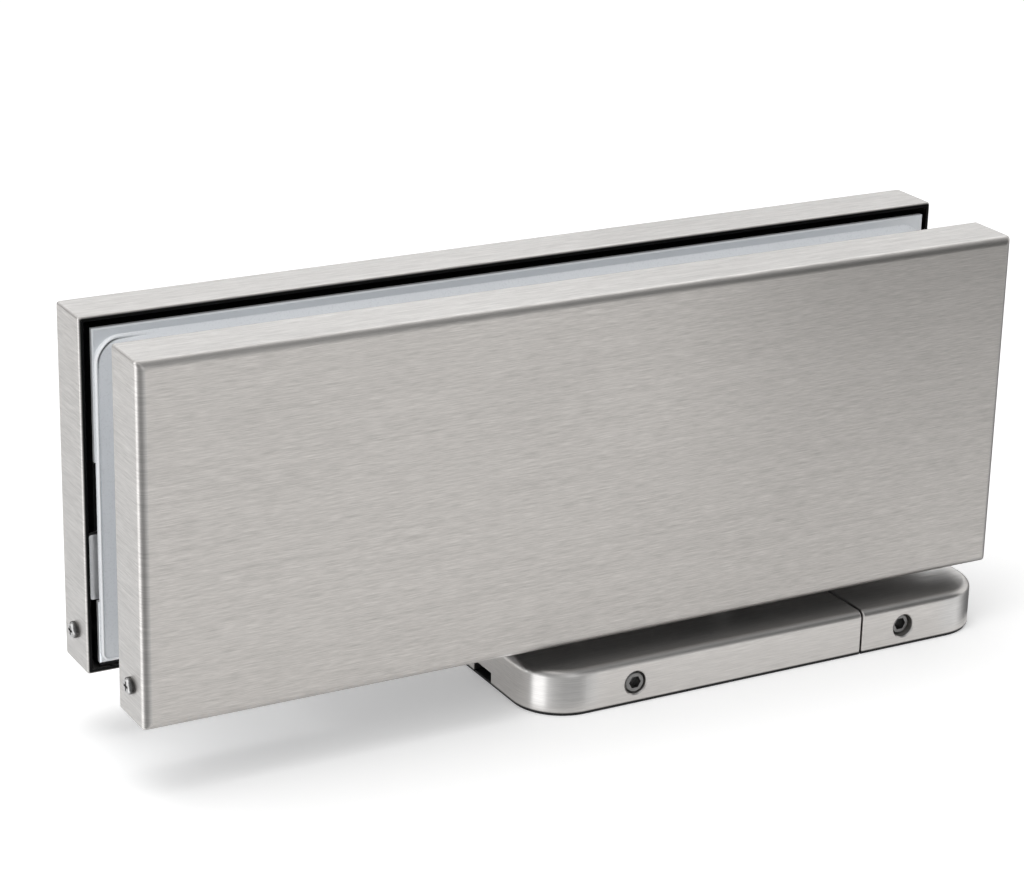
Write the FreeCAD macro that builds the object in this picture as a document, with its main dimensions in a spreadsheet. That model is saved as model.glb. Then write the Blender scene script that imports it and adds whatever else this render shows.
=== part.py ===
import FreeCAD, Part
import math
import os

import Sketcher

# Hydraulic floor patch hinge for a frameless glass door, in millimetres.
# The origin is on the spindle axis at floor level, +X runs along the patch, the front is at -Y.

V = FreeCAD.Vector
doc = FreeCAD.newDocument("FloorPatchHinge")
sheet = doc.addObject("Spreadsheet::Sheet", "Sizes")


class Size:
    """A number together with the sheet expression that gives it."""

    def __init__(self, value, text):
        self.value = float(value)
        self.text = text

    def __add__(self, other):
        other = as_size(other)
        return Size(self.value + other.value, "(%s + %s)" % (self.text, other.text))

    def __radd__(self, other):
        return as_size(other) + self

    def __sub__(self, other):
        other = as_size(other)
        return Size(self.value - other.value, "(%s - %s)" % (self.text, other.text))

    def __rsub__(self, other):
        return as_size(other) - self

    def __mul__(self, other):
        other = as_size(other)
        return Size(self.value * other.value, "(%s * %s)" % (self.text, other.text))

    def __rmul__(self, other):
        return as_size(other) * self

    def __truediv__(self, other):
        other = as_size(other)
        return Size(self.value / other.value, "(%s / %s)" % (self.text, other.text))

    def __neg__(self):
        return Size(-self.value, "(-1 * %s)" % self.text)


def as_size(number):
    """A Size for a plain number, or the Size itself."""
    if isinstance(number, Size):
        return number
    return Size(number, "(%r)" % float(number))


row_count = 0


def size(alias, value, meaning):
    """Write one driving dimension into the sheet and give it back as a Size."""
    global row_count
    row_count = row_count + 1
    sheet.set("A%d" % row_count, meaning)
    sheet.set("B%d" % row_count, str(value))
    sheet.setAlias("B%d" % row_count, alias)
    return Size(value, "Sizes." + alias)


# Covers
cover_length = size("cover_length", 200.0, "length of each cover")
cover_height = size("cover_height", 74.8, "height of each cover")
patch_thickness = size("patch_thickness", 42.8, "thickness over both covers")
cover_rim_setback = size("cover_rim_setback", 0.7, "cover's rim behind the plate's glass side")
cover_sheet = size("cover_sheet", 1.0, "sheet of the covers")
cover_edge_radius = size("cover_edge_radius", 1.7, "rounding round the face of a cover")
cover_corner_radius = size("cover_corner_radius", 0.6, "rounding of a cover's four corners")
cover_rim_radius = size("cover_rim_radius", 0.7, "rounding of a cover's rim outside")
cover_clearance = size("cover_clearance", 0.4, "room between the covers and what they hide")
axis_from_end = size("axis_from_end", 57.9, "spindle axis from the right end of the covers")
floor_gap = size("floor_gap", 4.5, "shoe top to cover bottom")
cover_screw_height = size("cover_screw_height", 7.4, "cover screw above the cover's bottom")
cover_screw_inset = size("cover_screw_inset", 6.6, "cover screw behind the cover's face")
cover_screw_radius = size("cover_screw_radius", 1.0, "shank of a cover screw")
cover_screw_length = size("cover_screw_length", 8.0, "length of a cover screw under its head")
cover_screw_head_radius = size("cover_screw_head_radius", 1.75, "head of a cover screw")
cover_screw_head_height = size("cover_screw_head_height", 1.1, "height of a cover screw's head")
cover_screw_head_round = size("cover_screw_head_round", 0.7, "rounding of a cover screw's head")
cross_length = size("cross_length", 2.0, "length of the cross recess")
cross_width = size("cross_width", 0.5, "width of the cross recess")
cross_depth = size("cross_depth", 0.6, "depth of the cross recess")

# Floor shoe
shoe_length = size("shoe_length", 114.0, "length of the floor shoe")
shoe_width = size("shoe_width", 49.0, "width of the floor shoe")
shoe_height = size("shoe_height", 10.0, "top of the shoe above the floor")
shoe_corner_radius = size("shoe_corner_radius", 11.0, "corners of the shoe seen from above")
shoe_edge_radius = size("shoe_edge_radius", 1.6, "rounding of the shoe's top edge")
shoe_wall = size("shoe_wall", 4.0, "side wall of the shoe")
pad_thickness = size("pad_thickness", 0.5, "rubber pad between shoe and floor")
pad_inset = size("pad_inset", 0.3, "pad inside the shoe's outline")
shoe_joint_offset = size("shoe_joint_offset", 23.0, "parting line from the spindle axis")
shoe_joint_gap = size("shoe_joint_gap", 0.4, "gap at the parting line")
shoe_joint_radius = size("shoe_joint_radius", 0.4, "rounding of the edges at the parting line")
shoe_spindle_clearance = size("shoe_spindle_clearance", 1.0, "shoe opening round the spindle")
notch_width = size("notch_width", 7.6, "pull notch in the shoe's left end")
notch_height = size("notch_height", 2.5, "height of the pull notch")
set_screw_inset = size("set_screw_inset", 23.0, "set screws from the shoe's ends")
set_screw_height = size("set_screw_height", 4.7, "set screws above the floor")
set_screw_radius = size("set_screw_radius", 2.5, "radius of a set screw")
main_screw_recess = size("main_screw_recess", 0.35, "long shoe's set screws below its side")
end_screw_recess = size("end_screw_recess", 1.3, "short shoe's set screws below its side")
set_screw_rim = size("set_screw_rim", 0.25, "chamfer round a set screw's hole")
set_screw_socket = size("set_screw_socket", 2.5, "hexagon socket across flats")
set_screw_socket_depth = size("set_screw_socket_depth", 2.0, "depth of the hexagon socket")
set_screw_chamfer = size("set_screw_chamfer", 0.5, "chamfer at a set screw's ends")
thread_clearance = size("thread_clearance", 0.05, "radial room of a screw in its tapped hole")

# Floor plate
base_thickness = size("base_thickness", 7.0, "thickness of the floor plate")
base_clearance = size("base_clearance", 0.3, "room between floor plate and shoe")
floor_hole_inset_x = size("floor_hole_inset_x", 10.7, "floor screw holes from the plate's ends")
floor_hole_inset_y = size("floor_hole_inset_y", 9.2, "floor screw holes from the plate's sides")
floor_hole_radius = size("floor_hole_radius", 3.3, "floor screw hole")
floor_sink_radius = size("floor_sink_radius", 6.2, "countersink of a floor screw hole")
socket_floor = size("socket_floor", 1.5, "metal left under the spindle socket")
socket_clearance = size("socket_clearance", 0.05, "room round the spindle's square foot")

# Spindle
journal_margin = size("journal_margin", 0.5, "lower journal beyond the pinion's teeth")
journal_step = size("journal_step", 0.05, "upper journal inside the pinion's roots")
tenon_width = size("tenon_width", 10.4, "square foot across flats")
pitch_radius = size("pitch_radius", 6.0, "pitch circle of the pinion")
pinion_teeth = size("pinion_teeth", 12, "teeth on the pinion")
pressure_angle = size("pressure_angle", 20.0, "pressure angle in degrees")
rack_addendum = size("rack_addendum", 0.7, "rack tooth above its pitch line, in modules")
pinion_addendum = size("pinion_addendum", 1.0, "pinion tooth above its pitch circle, in modules")
tooth_clearance = size("tooth_clearance", 0.25, "room under a tooth tip, in modules")
tooth_backlash = size("tooth_backlash", 0.16, "backlash in the mesh")
running_clearance = size("running_clearance", 0.05, "radial room of a running fit")
axial_clearance = size("axial_clearance", 0.05, "end play of the spindle")
spindle_top_room = size("spindle_top_room", 0.2, "spindle's end to the roof of its bore")
turned_chamfer = size("turned_chamfer", 0.5, "chamfer at the ends of turned pieces")
swing_limit = size("swing_limit", 90.0, "swing each way in degrees")

# Hydraulic body
bore_radius = size("bore_radius", 11.0, "cylinder bore")
lower_wall = size("lower_wall", 8.0, "wall under the bore")
upper_wall = size("upper_wall", 8.0, "wall over the bore")
body_side_gap = size("body_side_gap", 4.0, "body's sides to the covers")
body_left_inset = size("body_left_inset", 50.5, "body's left end inside the covers")
body_right_inset = size("body_right_inset", 4.5, "body's right end inside the covers")
body_chamfer = size("body_chamfer", 1.0, "chamfer along the body")
tongue_height = size("tongue_height", 9.0, "tongue above the body")
tongue_width = size("tongue_width", 8.0, "tongue to the left of the body")
bush_wall = size("bush_wall", 2.0, "wall of both bushes")
seal_height = size("seal_height", 2.5, "height of the spindle seal")
washer_thickness = size("washer_thickness", 1.0, "thrust washer")
washer_margin = size("washer_margin", 0.3, "thrust washer beyond the pinion's teeth")
roof_thickness = size("roof_thickness", 1.0, "body over the upper bush")
cap_shoulder = size("cap_shoulder", 1.0, "end cap's thread outside the bore")
cap_length = size("cap_length", 8.0, "length of an end cap")
cap_socket = size("cap_socket", 8.0, "hexagon socket of an end cap, across flats")
cap_socket_depth = size("cap_socket_depth", 4.0, "depth of an end cap's socket")
seal_section = size("seal_section", 0.9, "section radius of a cap's sealing ring")
seal_groove_offset = size("seal_groove_offset", 1.2, "seal groove from the cap's inner face")
groove_width = size("groove_width", 2.4, "width of a ring's groove, in section radii")
groove_depth = size("groove_depth", 2.1, "depth of a ring's groove, in section radii")
valve_radius = size("valve_radius", 2.5, "speed screw")
valve_length = size("valve_length", 9.0, "length of a speed screw")
valve_recess = size("valve_recess", 0.3, "speed screw below the body's face")
valve_rise = size("valve_rise", 2.6, "speed screws above the top of the bore")
valve_tip_radius = size("valve_tip_radius", 0.75, "flat at a speed screw's tip")
sweep_valve_offset = size("sweep_valve_offset", -34.0, "sweep speed screw from the spindle axis")
latch_valve_offset = size("latch_valve_offset", 30.0, "latch speed screw from the spindle axis")
valve_ring_section = size("valve_ring_section", 0.5, "section radius of a speed screw's ring")
valve_slot_width = size("valve_slot_width", 0.8, "driver slot of a speed screw")
valve_slot_depth = size("valve_slot_depth", 0.9, "depth of the driver slot")

# Piston and springs
piston_head = size("piston_head", 6.5, "solid head at each end of the piston")
window_end_room = size("window_end_room", 1.1, "window's end to the pinion at full swing")
window_side_room = size("window_side_room", 0.6, "plain side of the window to the pinion")
ring_width = size("ring_width", 2.0, "width of a piston ring")
ring_depth = size("ring_depth", 1.2, "depth of a piston ring's groove")
ring_land = size("ring_land", 2.2, "piston ring's groove from the piston's end")
ring_clearance = size("ring_clearance", 0.03, "room round a piston ring")
check_bore_radius = size("check_bore_radius", 2.2, "check valve chamber")
check_bore_depth = size("check_bore_depth", 4.2, "depth of the check valve chamber")
check_port_radius = size("check_port_radius", 1.1, "oil port of the check valve")
check_ball_radius = size("check_ball_radius", 1.5, "check ball")
check_plug_length = size("check_plug_length", 1.0, "plug of the check valve")
spring_wire = size("spring_wire", 1.8, "radius of the spring wire")
spring_room = size("spring_room", 0.6, "springs to the bore")
left_spring_turns = size("left_spring_turns", 9.0, "turns of the left spring")
right_spring_turns = size("right_spring_turns", 3.0, "turns of the right spring")

# Clamps, plates and gaskets
plate_gap = size("plate_gap", 15.2, "between the two pressure plates")
plate_sheet = size("plate_sheet", 1.2, "pressure plate")
plate_inset = size("plate_inset", 2.4, "pressure plate inside the cover's outline")
plate_notch_depth = size("plate_notch_depth", 1.4, "notch in the plate's left edge")
plate_notch_bottom = size("plate_notch_bottom", 15.6, "notch's lower end above the cover's bottom")
plate_notch_top = size("plate_notch_top", 45.0, "notch's upper end above the cover's bottom")
clamp_setback = size("clamp_setback", 0.5, "casting inside the plate's outline")
clamp_cover_gap = size("clamp_cover_gap", 1.7, "casting to the cover's face")
plate_bevel = size("plate_bevel", 0.25, "bevel round the plate's glass side")
clamp_clearance = size("clamp_clearance", 0.5, "casting to the hydraulic body")
clamp_rib = size("clamp_rib", 5.0, "rim and ribs of the casting")
clamp_web = size("clamp_web", 3.0, "casting under its pockets")
clamp_pockets = size("clamp_pockets", 5, "pockets along the casting's top")
clamp_fillet = size("clamp_fillet", 2.0, "rounding in the casting's pockets")
gasket_sheet = size("gasket_sheet", 1.2, "gasket")
gasket_side_inset = size("gasket_side_inset", 0.1, "gasket inside the plate's ends")
gasket_top_inset = size("gasket_top_inset", 1.6, "gasket under the plate's top")
gasket_bottom_inset = size("gasket_bottom_inset", 0.6, "gasket above the plate's bottom")
gasket_corner_radius = size("gasket_corner_radius", 5.4, "upper corners of the gasket")
gasket_lower_radius = size("gasket_lower_radius", 1.9, "lower corner of the gasket")
gasket_tongue_gap = size("gasket_tongue_gap", 1.0, "gasket to the tongue")
catch_sheet = size("catch_sheet", 1.5, "cover catch")
catch_recess = size("catch_recess", 1.6, "catch seat below the casting's glass side")
catch_width = size("catch_width", 10.4, "strip of a catch")
catch_margin = size("catch_margin", 4.0, "strip of a catch below its lug")
catch_reach = size("catch_reach", 0.1, "lug of a catch to the cover's end wall")
catch_lug_bottom = size("catch_lug_bottom", 15.8, "lug above the cover's bottom")
catch_lug_height = size("catch_lug_height", 13.8, "height of the lug")
catch_strip_inset = size("catch_strip_inset", 2.0, "strip of a catch from the plate's left edge")
catch_fillet = size("catch_fillet", 1.6, "fillet over the lug")
catch_corner = size("catch_corner", 0.7, "rounded lower corner of the lug")
catch_room = size("catch_room", 0.4, "catch to the sides of its seat")
clamp_screw_radius = size("clamp_screw_radius", 2.0, "shank of a clamp screw")
clamp_screw_head_radius = size("clamp_screw_head_radius", 3.4, "head of a clamp screw")
clamp_screw_head_height = size("clamp_screw_head_height", 4.0, "height of a clamp screw's head")
clamp_screw_socket = size("clamp_screw_socket", 3.0, "clamp screw's hexagon socket, across flats")
clamp_screw_grip = size("clamp_screw_grip", 5.0, "clamp screw's thread in the rear casting")
clamp_screw_room = size("clamp_screw_room", 0.25, "radial room of a clamp screw in its holes")
clamp_screw_left_inset = size("clamp_screw_left_inset", 8.0, "first upper clamp screw from the body's end")
clamp_screw_right_inset = size("clamp_screw_right_inset", 14.0, "last upper clamp screw from the body's end")
clamp_screw_upper_count = size("clamp_screw_upper_count", 4, "upper clamp screws")
clamp_screw_side_rise = size("clamp_screw_side_rise", 4.1, "side clamp screws above body floor and cap")
cut_overrun = size("cut_overrun", 1.0, "length by which a cut runs past a face")
doc.recompute()

# Places worked out from the driving dimensions
left_end = axis_from_end - cover_length
right_end = axis_from_end
cover_bottom = shoe_height + floor_gap
cover_top = cover_bottom + cover_height
cover_face = patch_thickness / 2
cover_rim = plate_gap / 2 + cover_rim_setback
cover_depth = cover_face - cover_rim
cover_screw_offset = cover_face - cover_screw_inset
inner_floor = cover_bottom + cover_sheet + cover_clearance

body_left = left_end + body_left_inset
body_right = right_end - body_right_inset
body_half = cover_face - cover_sheet - body_side_gap
bore_height = inner_floor + lower_wall + bore_radius
body_top = bore_height + bore_radius + upper_wall
tongue_left = body_left - tongue_width
tongue_top = body_top + tongue_height

plate_face = plate_gap / 2
plate_back = plate_face + plate_sheet
plate_left = left_end + plate_inset
plate_right = right_end - plate_inset
plate_bottom = cover_bottom + plate_inset
plate_top = cover_top - plate_inset
clamp_left = plate_left + clamp_setback
clamp_right = plate_right - clamp_setback
clamp_top = plate_top - clamp_setback
clamp_back = cover_face - cover_sheet - clamp_cover_gap
clamp_thickness = clamp_back - plate_back
cutout_left = body_left - clamp_clearance
cutout_top = body_top + clamp_clearance
gasket_face = plate_face - gasket_sheet

shoe_left = -(shoe_length / 2)
shoe_right = shoe_length / 2
shoe_half = shoe_width / 2
shoe_ceiling = base_thickness + base_clearance
base_half_length = shoe_length / 2 - shoe_wall - base_clearance
base_half_width = shoe_half - shoe_wall - base_clearance
floor_hole_x = base_half_length - floor_hole_inset_x
floor_hole_y = base_half_width - floor_hole_inset_y
set_screw_offset = shoe_length / 2 - set_screw_inset

tooth_module = pitch_radius * 2 / pinion_teeth
pinion_tip = pitch_radius + pinion_addendum * tooth_module
pinion_root = pitch_radius - (rack_addendum + tooth_clearance) * tooth_module
rack_tip = pitch_radius - rack_addendum * tooth_module
rack_root = pitch_radius + (pinion_addendum + tooth_clearance) * tooth_module
journal_radius = pinion_tip + journal_margin
upper_journal_radius = pinion_root - journal_step
spindle_opening = journal_radius + shoe_spindle_clearance

bush_radius = journal_radius + running_clearance + bush_wall
upper_bush_radius = upper_journal_radius + running_clearance + bush_wall
bush_top = bore_height - bore_radius - axial_clearance
pinion_bottom = bush_top + axial_clearance
washer_top = bore_height + bore_radius + washer_thickness
pinion_top = washer_top - washer_thickness - axial_clearance
upper_bush_top = body_top - roof_thickness
spindle_top = upper_bush_top - spindle_top_room
washer_radius = pinion_tip + washer_margin

cap_radius = bore_radius + cap_shoulder
left_chamber = body_left + cap_length
right_chamber = body_right - cap_length
piston_radius = bore_radius - running_clearance
piston_travel = pitch_radius * swing_limit * (math.pi / 180)
window_half_length = pinion_tip + piston_travel + window_end_room
window_back = pinion_tip + window_side_room
piston_half_length = window_half_length + piston_head
ring_offset = piston_half_length - ring_land - ring_width / 2
spring_radius = bore_radius - spring_wire - spring_room
catch_seat = plate_back + catch_recess
catch_left = plate_left + catch_strip_inset
catch_seat_right = catch_left + catch_width + catch_room

screw_height = cover_bottom + cover_screw_height
clamp_row_height = (cutout_top + tongue_top) / 2
clamp_column = (cutout_left + tongue_left) / 2
clamp_screw_first = body_left + clamp_screw_left_inset
clamp_screw_last = body_right - clamp_screw_right_inset
valve_height = bore_height + bore_radius + valve_rise


def number(item):
    """The plain number of a Size."""
    return as_size(item).value


def bind(item, prop, amount):
    """Bind one property of a document object to the sheet."""
    item.setExpression(prop, as_size(amount).text)


def place(item, x=0, y=0, z=0):
    """Bind an object's place to the sheet."""
    bind(item, "Placement.Base.x", x)
    bind(item, "Placement.Base.y", y)
    bind(item, "Placement.Base.z", z)
    return item


def new_body(label):
    """An empty body whose label is its node's name."""
    body = doc.addObject("PartDesign::Body", label)
    body.Label = label
    return body


def sketch(body, role, offset=0):
    """A sketch on one of the body's own origin planes, moved along that plane's normal."""
    made = body.newObject("Sketcher::SketchObject", body.Name + "_sketch")
    plane = next(item for item in body.Origin.OriginFeatures if item.Role == role)
    made.AttachmentSupport = [(plane, "")]
    made.MapMode = "FlatFace"
    bind(made, "AttachmentOffset.Base.z", offset)
    return made


def outline(drawing, corners):
    """A closed outline of straight lines whose corners are measured from the origin."""
    first = drawing.GeometryCount
    count = len(corners)
    points = [V(number(x), number(y), 0) for x, y in corners]
    for i in range(count):
        drawing.addGeometry(Part.LineSegment(points[i], points[(i + 1) % count]))
    for i in range(count):
        drawing.addConstraint(Sketcher.Constraint("Coincident", first + i, 2, first + (i + 1) % count, 1))
    for i, (x, y) in enumerate(corners):
        for axis, amount in (("DistanceX", x), ("DistanceY", y)):
            index = drawing.addConstraint(Sketcher.Constraint(axis, -1, 1, first + i, 1, number(amount)))
            bind(drawing, "Constraints[%d]" % index, amount)


def rectangle(drawing, x0, x1, y0, y1):
    """A rectangle between two corners."""
    outline(drawing, [(x0, y0), (x1, y0), (x1, y1), (x0, y1)])


def circle(drawing, x, y, radius):
    """A circle at a measured place."""
    index = drawing.addGeometry(Part.Circle(V(number(x), number(y), 0), V(0, 0, 1), number(radius)))
    for axis, amount in (("DistanceX", x), ("DistanceY", y)):
        k = drawing.addConstraint(Sketcher.Constraint(axis, -1, 1, index, 3, number(amount)))
        bind(drawing, "Constraints[%d]" % k, amount)
    k = drawing.addConstraint(Sketcher.Constraint("Radius", index, number(radius)))
    bind(drawing, "Constraints[%d]" % k, radius)


def hexagon(drawing, x, y, across_flats):
    """A hexagon with two sides level."""
    half = across_flats / 2
    side = across_flats / (2 * math.sqrt(3))
    outline(drawing, [
        (x - 2 * side, y),
        (x - side, y - half),
        (x + side, y - half),
        (x + 2 * side, y),
        (x + side, y + half),
        (x - side, y + half),
    ])


def pad(body, drawing, length, reverse=False, symmetric=False):
    """Raise a sketch along its normal, against it, or both ways."""
    made = body.newObject("PartDesign::Pad", body.Name + "_pad")
    made.Profile = drawing
    made.Reversed = reverse
    if symmetric:
        made.SideType = "Symmetric"
    bind(made, "Length", length)
    doc.recompute()
    return made


def cut(body, drawing, depth=None, reverse=False):
    """Cut a sketch into the body: against its normal, along it, or right through both ways."""
    before = body.Shape.Volume
    made = body.newObject("PartDesign::Pocket", body.Name + "_cut")
    made.Profile = drawing
    made.Reversed = reverse
    if depth is None:
        made.Type = "ThroughAll"
        made.SideType = "Symmetric"
    else:
        bind(made, "Length", depth)
    doc.recompute()
    if not body.Shape.Volume < before:
        raise RuntimeError("%s cuts nothing" % made.Name)
    return made


def edges_where(item, test):
    """Names of the edges of a shape that pass a test."""
    return ["Edge%d" % (i + 1) for i, edge in enumerate(item.Shape.Edges) if test(edge)]


def along(edge, axis):
    """True for a straight edge in line with an axis."""
    if edge.Curve.TypeId != "Part::GeomLine":
        return False
    return abs(edge.tangentAt(edge.FirstParameter).dot(axis)) > 0.999


def level(edge, axis, amount):
    """True for an edge that lies in the plane at this distance along an axis."""
    return all(abs(v.Point.dot(axis) - number(amount)) < 1e-4 for v in edge.Vertexes)


def round_edges(body, radius, test):
    """Fillet the edges of the body's last feature that pass a test."""
    last = body.Tip
    made = body.newObject("PartDesign::Fillet", body.Name + "_round")
    made.Base = (last, edges_where(last, test))
    bind(made, "Radius", radius)
    doc.recompute()
    return made


def bevel_edges(body, amount, test):
    """Chamfer the edges of the body's last feature that pass a test."""
    last = body.Tip
    made = body.newObject("PartDesign::Chamfer", body.Name + "_bevel")
    made.Base = (last, edges_where(last, test))
    bind(made, "Size", amount)
    doc.recompute()
    return made


def turned(label, role, axis, profile):
    """A turned piece: a closed half profile revolved about an axis of its sketch."""
    body = new_body(label)
    drawing = sketch(body, role)
    outline(drawing, profile)
    made = body.newObject("PartDesign::Revolution", label + "_turn")
    made.Profile = drawing
    made.ReferenceAxis = (drawing, [axis])
    made.Angle = 360
    doc.recompute()
    return body


def turned_x(label, profile):
    """A piece turned about X, its profile given as (along, radius)."""
    return turned(label, "XZ_Plane", "H_Axis", profile)


def turned_y(label, profile):
    """A piece turned about Y, its profile given as (along, radius)."""
    return turned(label, "YZ_Plane", "H_Axis", profile)


def turned_z(label, profile):
    """A piece turned about Z, its profile given as (along, radius)."""
    return turned(label, "XZ_Plane", "V_Axis", [(radius, along_z) for along_z, radius in profile])


def tube_profile(start, end, inner, outer):
    """The half profile of a ring."""
    return [(start, inner), (end, inner), (end, outer), (start, outer)]


def mirrored(label, source, normal):
    """The mirror image of a piece about a plane through the origin."""
    made = doc.addObject("Part::Mirroring", label)
    made.Label = label
    made.Source = source
    made.Base = V(0, 0, 0)
    made.Normal = normal
    return made


def group(label, members):
    """Several separate solids in one node."""
    made = doc.addObject("Part::Compound", label)
    made.Label = label
    made.Links = members
    return made


def linked(source, angle, x, y, z):
    """A further copy of a piece, turned about Z by an angle and set at a place."""
    made = doc.addObject("App::Link", source.Name + "_copy")
    made.LinkedObject = source
    made.LinkTransform = False
    made.Placement = FreeCAD.Placement(V(0, 0, 0), FreeCAD.Rotation(V(0, 0, 1), angle))
    return place(made, x, y, z)


X = V(1, 0, 0)
Y = V(0, 1, 0)
Z = V(0, 0, 1)
nodes = []


def keep(item):
    """Count a finished piece as a node."""
    nodes.append(item)
    return item


# Covers: one pressed tray, and its mirror image behind the glass
def make_front_cover():
    """A tray drawn from a block: rounded, hollowed from the rim, drilled at both ends."""
    body = new_body("front_cover")
    drawing = sketch(body, "XZ_Plane", cover_rim)
    rectangle(drawing, left_end, right_end, cover_bottom, cover_top)
    pad(body, drawing, cover_depth)
    round_edges(body, cover_corner_radius, lambda edge: along(edge, Y))
    round_edges(body, cover_edge_radius, lambda edge: level(edge, Y, -cover_face))
    round_edges(body, cover_rim_radius, lambda edge: level(edge, Y, -cover_rim))
    hollow = sketch(body, "XZ_Plane", cover_rim)
    rectangle(
        hollow,
        left_end + cover_sheet,
        right_end - cover_sheet,
        cover_bottom + cover_sheet,
        cover_top - cover_sheet,
    )
    cut(body, hollow, cover_depth - cover_sheet, reverse=True)
    round_edges(body, cover_edge_radius - cover_sheet, lambda edge: level(edge, Y, cover_sheet - cover_face))
    holes = sketch(body, "YZ_Plane")
    circle(holes, -cover_screw_offset, screw_height, cover_screw_radius + thread_clearance)
    cut(body, holes)
    return body


def make_cover_screws():
    """Pan-head screws with a cross recess, one at each end of each cover."""
    crown = cover_screw_head_height
    screw = turned_x("cover_screw", [
        (-crown, 0),
        (-crown, cover_screw_head_radius),
        (0, cover_screw_head_radius),
        (0, cover_screw_radius),
        (cover_screw_length, cover_screw_radius),
        (cover_screw_length, 0),
    ])
    round_edges(screw, cover_screw_head_round, lambda edge: level(edge, X, -crown))
    arm = cross_length / 2
    half = cross_width / 2
    cross = sketch(screw, "YZ_Plane", -crown)
    outline(cross, [
        (-arm, -half), (-half, -half), (-half, -arm), (half, -arm), (half, -half), (arm, -half),
        (arm, half), (half, half), (half, arm), (-half, arm), (-half, half), (-arm, half),
    ])
    cut(screw, cross, cross_depth, reverse=True)
    copies = []
    for end, angle in ((left_end, 0), (right_end, 180)):
        for side in (-1, 1):
            copies.append(linked(screw, angle, end, cover_screw_offset * side, screw_height))
    return group("cover_screws", copies)


front_cover = keep(make_front_cover())
keep(mirrored("rear_cover", front_cover, Y))
keep(make_cover_screws())


# Floor shoe: a long piece that slides round the spindle and a short piece that closes it
def shoe_shell(label, inner, outer, left_side):
    """A low hollow box with two round corners, open below and at the parting line."""
    body = new_body(label)
    drawing = sketch(body, "XY_Plane", pad_thickness)
    rectangle(drawing, inner, outer, -shoe_half, shoe_half)
    pad(body, drawing, shoe_height - pad_thickness)
    round_edges(body, shoe_corner_radius, lambda edge: along(edge, Z) and level(edge, X, outer))
    round_edges(body, shoe_edge_radius, lambda edge: (
        level(edge, Z, shoe_height) and not level(edge, X, inner)
    ))
    upper_joint = lambda edge: level(edge, X, inner) and not level(edge, Z, pad_thickness)
    round_edges(body, shoe_joint_radius, upper_joint)
    sign = 1 if left_side else -1
    hollow = sketch(body, "XY_Plane", pad_thickness)
    wall = shoe_half - shoe_wall
    end = outer + shoe_wall * sign
    rectangle(hollow, inner, end, -wall, wall)
    cut(body, hollow, shoe_ceiling - pad_thickness, reverse=True)
    round_edges(body, shoe_corner_radius - shoe_wall, lambda edge: along(edge, Z) and level(edge, X, end))
    return body


def set_screw_holes(body, offset):
    """Tapped holes through both side walls, chamfered outside."""
    holes = sketch(body, "XZ_Plane")
    circle(holes, offset, set_screw_height, set_screw_radius + thread_clearance)
    cut(body, holes)
    bevel_edges(body, set_screw_rim, lambda edge: edge.Curve.TypeId == "Part::GeomCircle" and any(
        level(edge, Y, shoe_half * side) and edge.Curve.Axis.dot(Y) ** 2 > 0.5 for side in (-1, 1)
    ))


def make_shoe_main():
    """The long shoe: a slot lets it slide in round the spindle, a notch helps to pull it off."""
    inner = shoe_joint_offset - shoe_joint_gap / 2
    body = shoe_shell("shoe_main", inner, shoe_left, True)
    slot = sketch(body, "XY_Plane")
    rectangle(slot, 0, inner, -spindle_opening, spindle_opening)
    cut(body, slot)
    opening = sketch(body, "XY_Plane")
    circle(opening, 0, 0, spindle_opening)
    cut(body, opening)
    notch = sketch(body, "YZ_Plane", shoe_left)
    notch_top = pad_thickness + notch_height
    rectangle(notch, -(notch_width / 2), notch_width / 2, pad_thickness - cut_overrun, notch_top)
    cut(body, notch, shoe_wall + cut_overrun, reverse=True)
    set_screw_holes(body, -set_screw_offset)
    return body


def make_shoe_end():
    """The short shoe: its tongue fills the long shoe's slot up to the spindle."""
    inner = shoe_joint_offset + shoe_joint_gap / 2
    body = shoe_shell("shoe_end", inner, shoe_right, False)
    half = spindle_opening - shoe_joint_gap
    tongue = sketch(body, "XY_Plane", shoe_ceiling)
    rectangle(tongue, 0, inner + shoe_wall, -half, half)
    pad(body, tongue, shoe_height - shoe_ceiling)
    opening = sketch(body, "XY_Plane")
    circle(opening, 0, 0, spindle_opening)
    cut(body, opening)
    set_screw_holes(body, set_screw_offset)
    return body


def set_screw_pair(label, offset, recess):
    """Two socket set screws that bear on the floor plate's sides."""
    face = shoe_half - recess
    length = face - base_half_width
    radius = set_screw_radius
    screw = turned_y(label, [
        (0, 0),
        (0, radius - set_screw_chamfer),
        (set_screw_chamfer, radius),
        (length - set_screw_chamfer, radius),
        (length, radius - set_screw_chamfer),
        (length, 0),
    ])
    socket = sketch(screw, "XZ_Plane", 0)
    hexagon(socket, 0, 0, set_screw_socket)
    cut(screw, socket, set_screw_socket_depth)
    return [
        linked(screw, 0, offset, -face, set_screw_height),
        linked(screw, 180, offset, face, set_screw_height),
    ]


def shoe_pad(label, inner, outer, left_side):
    """A thin rubber frame that the shoe's walls stand on, open at the parting line."""
    sign = 1 if left_side else -1
    body = new_body(label)
    far = outer + pad_inset * sign
    near = outer + shoe_wall * sign
    wide = shoe_half - pad_inset
    narrow = shoe_half - shoe_wall
    drawing = sketch(body, "XY_Plane")
    rectangle(drawing, inner, far, -wide, wide)
    pad(body, drawing, pad_thickness)
    round_edges(body, shoe_corner_radius - pad_inset, lambda edge: along(edge, Z) and level(edge, X, far))
    window = sketch(body, "XY_Plane")
    rectangle(window, inner, near, -narrow, narrow)
    cut(body, window)
    round_edges(body, shoe_corner_radius - shoe_wall, lambda edge: along(edge, Z) and level(edge, X, near))
    return body


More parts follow.
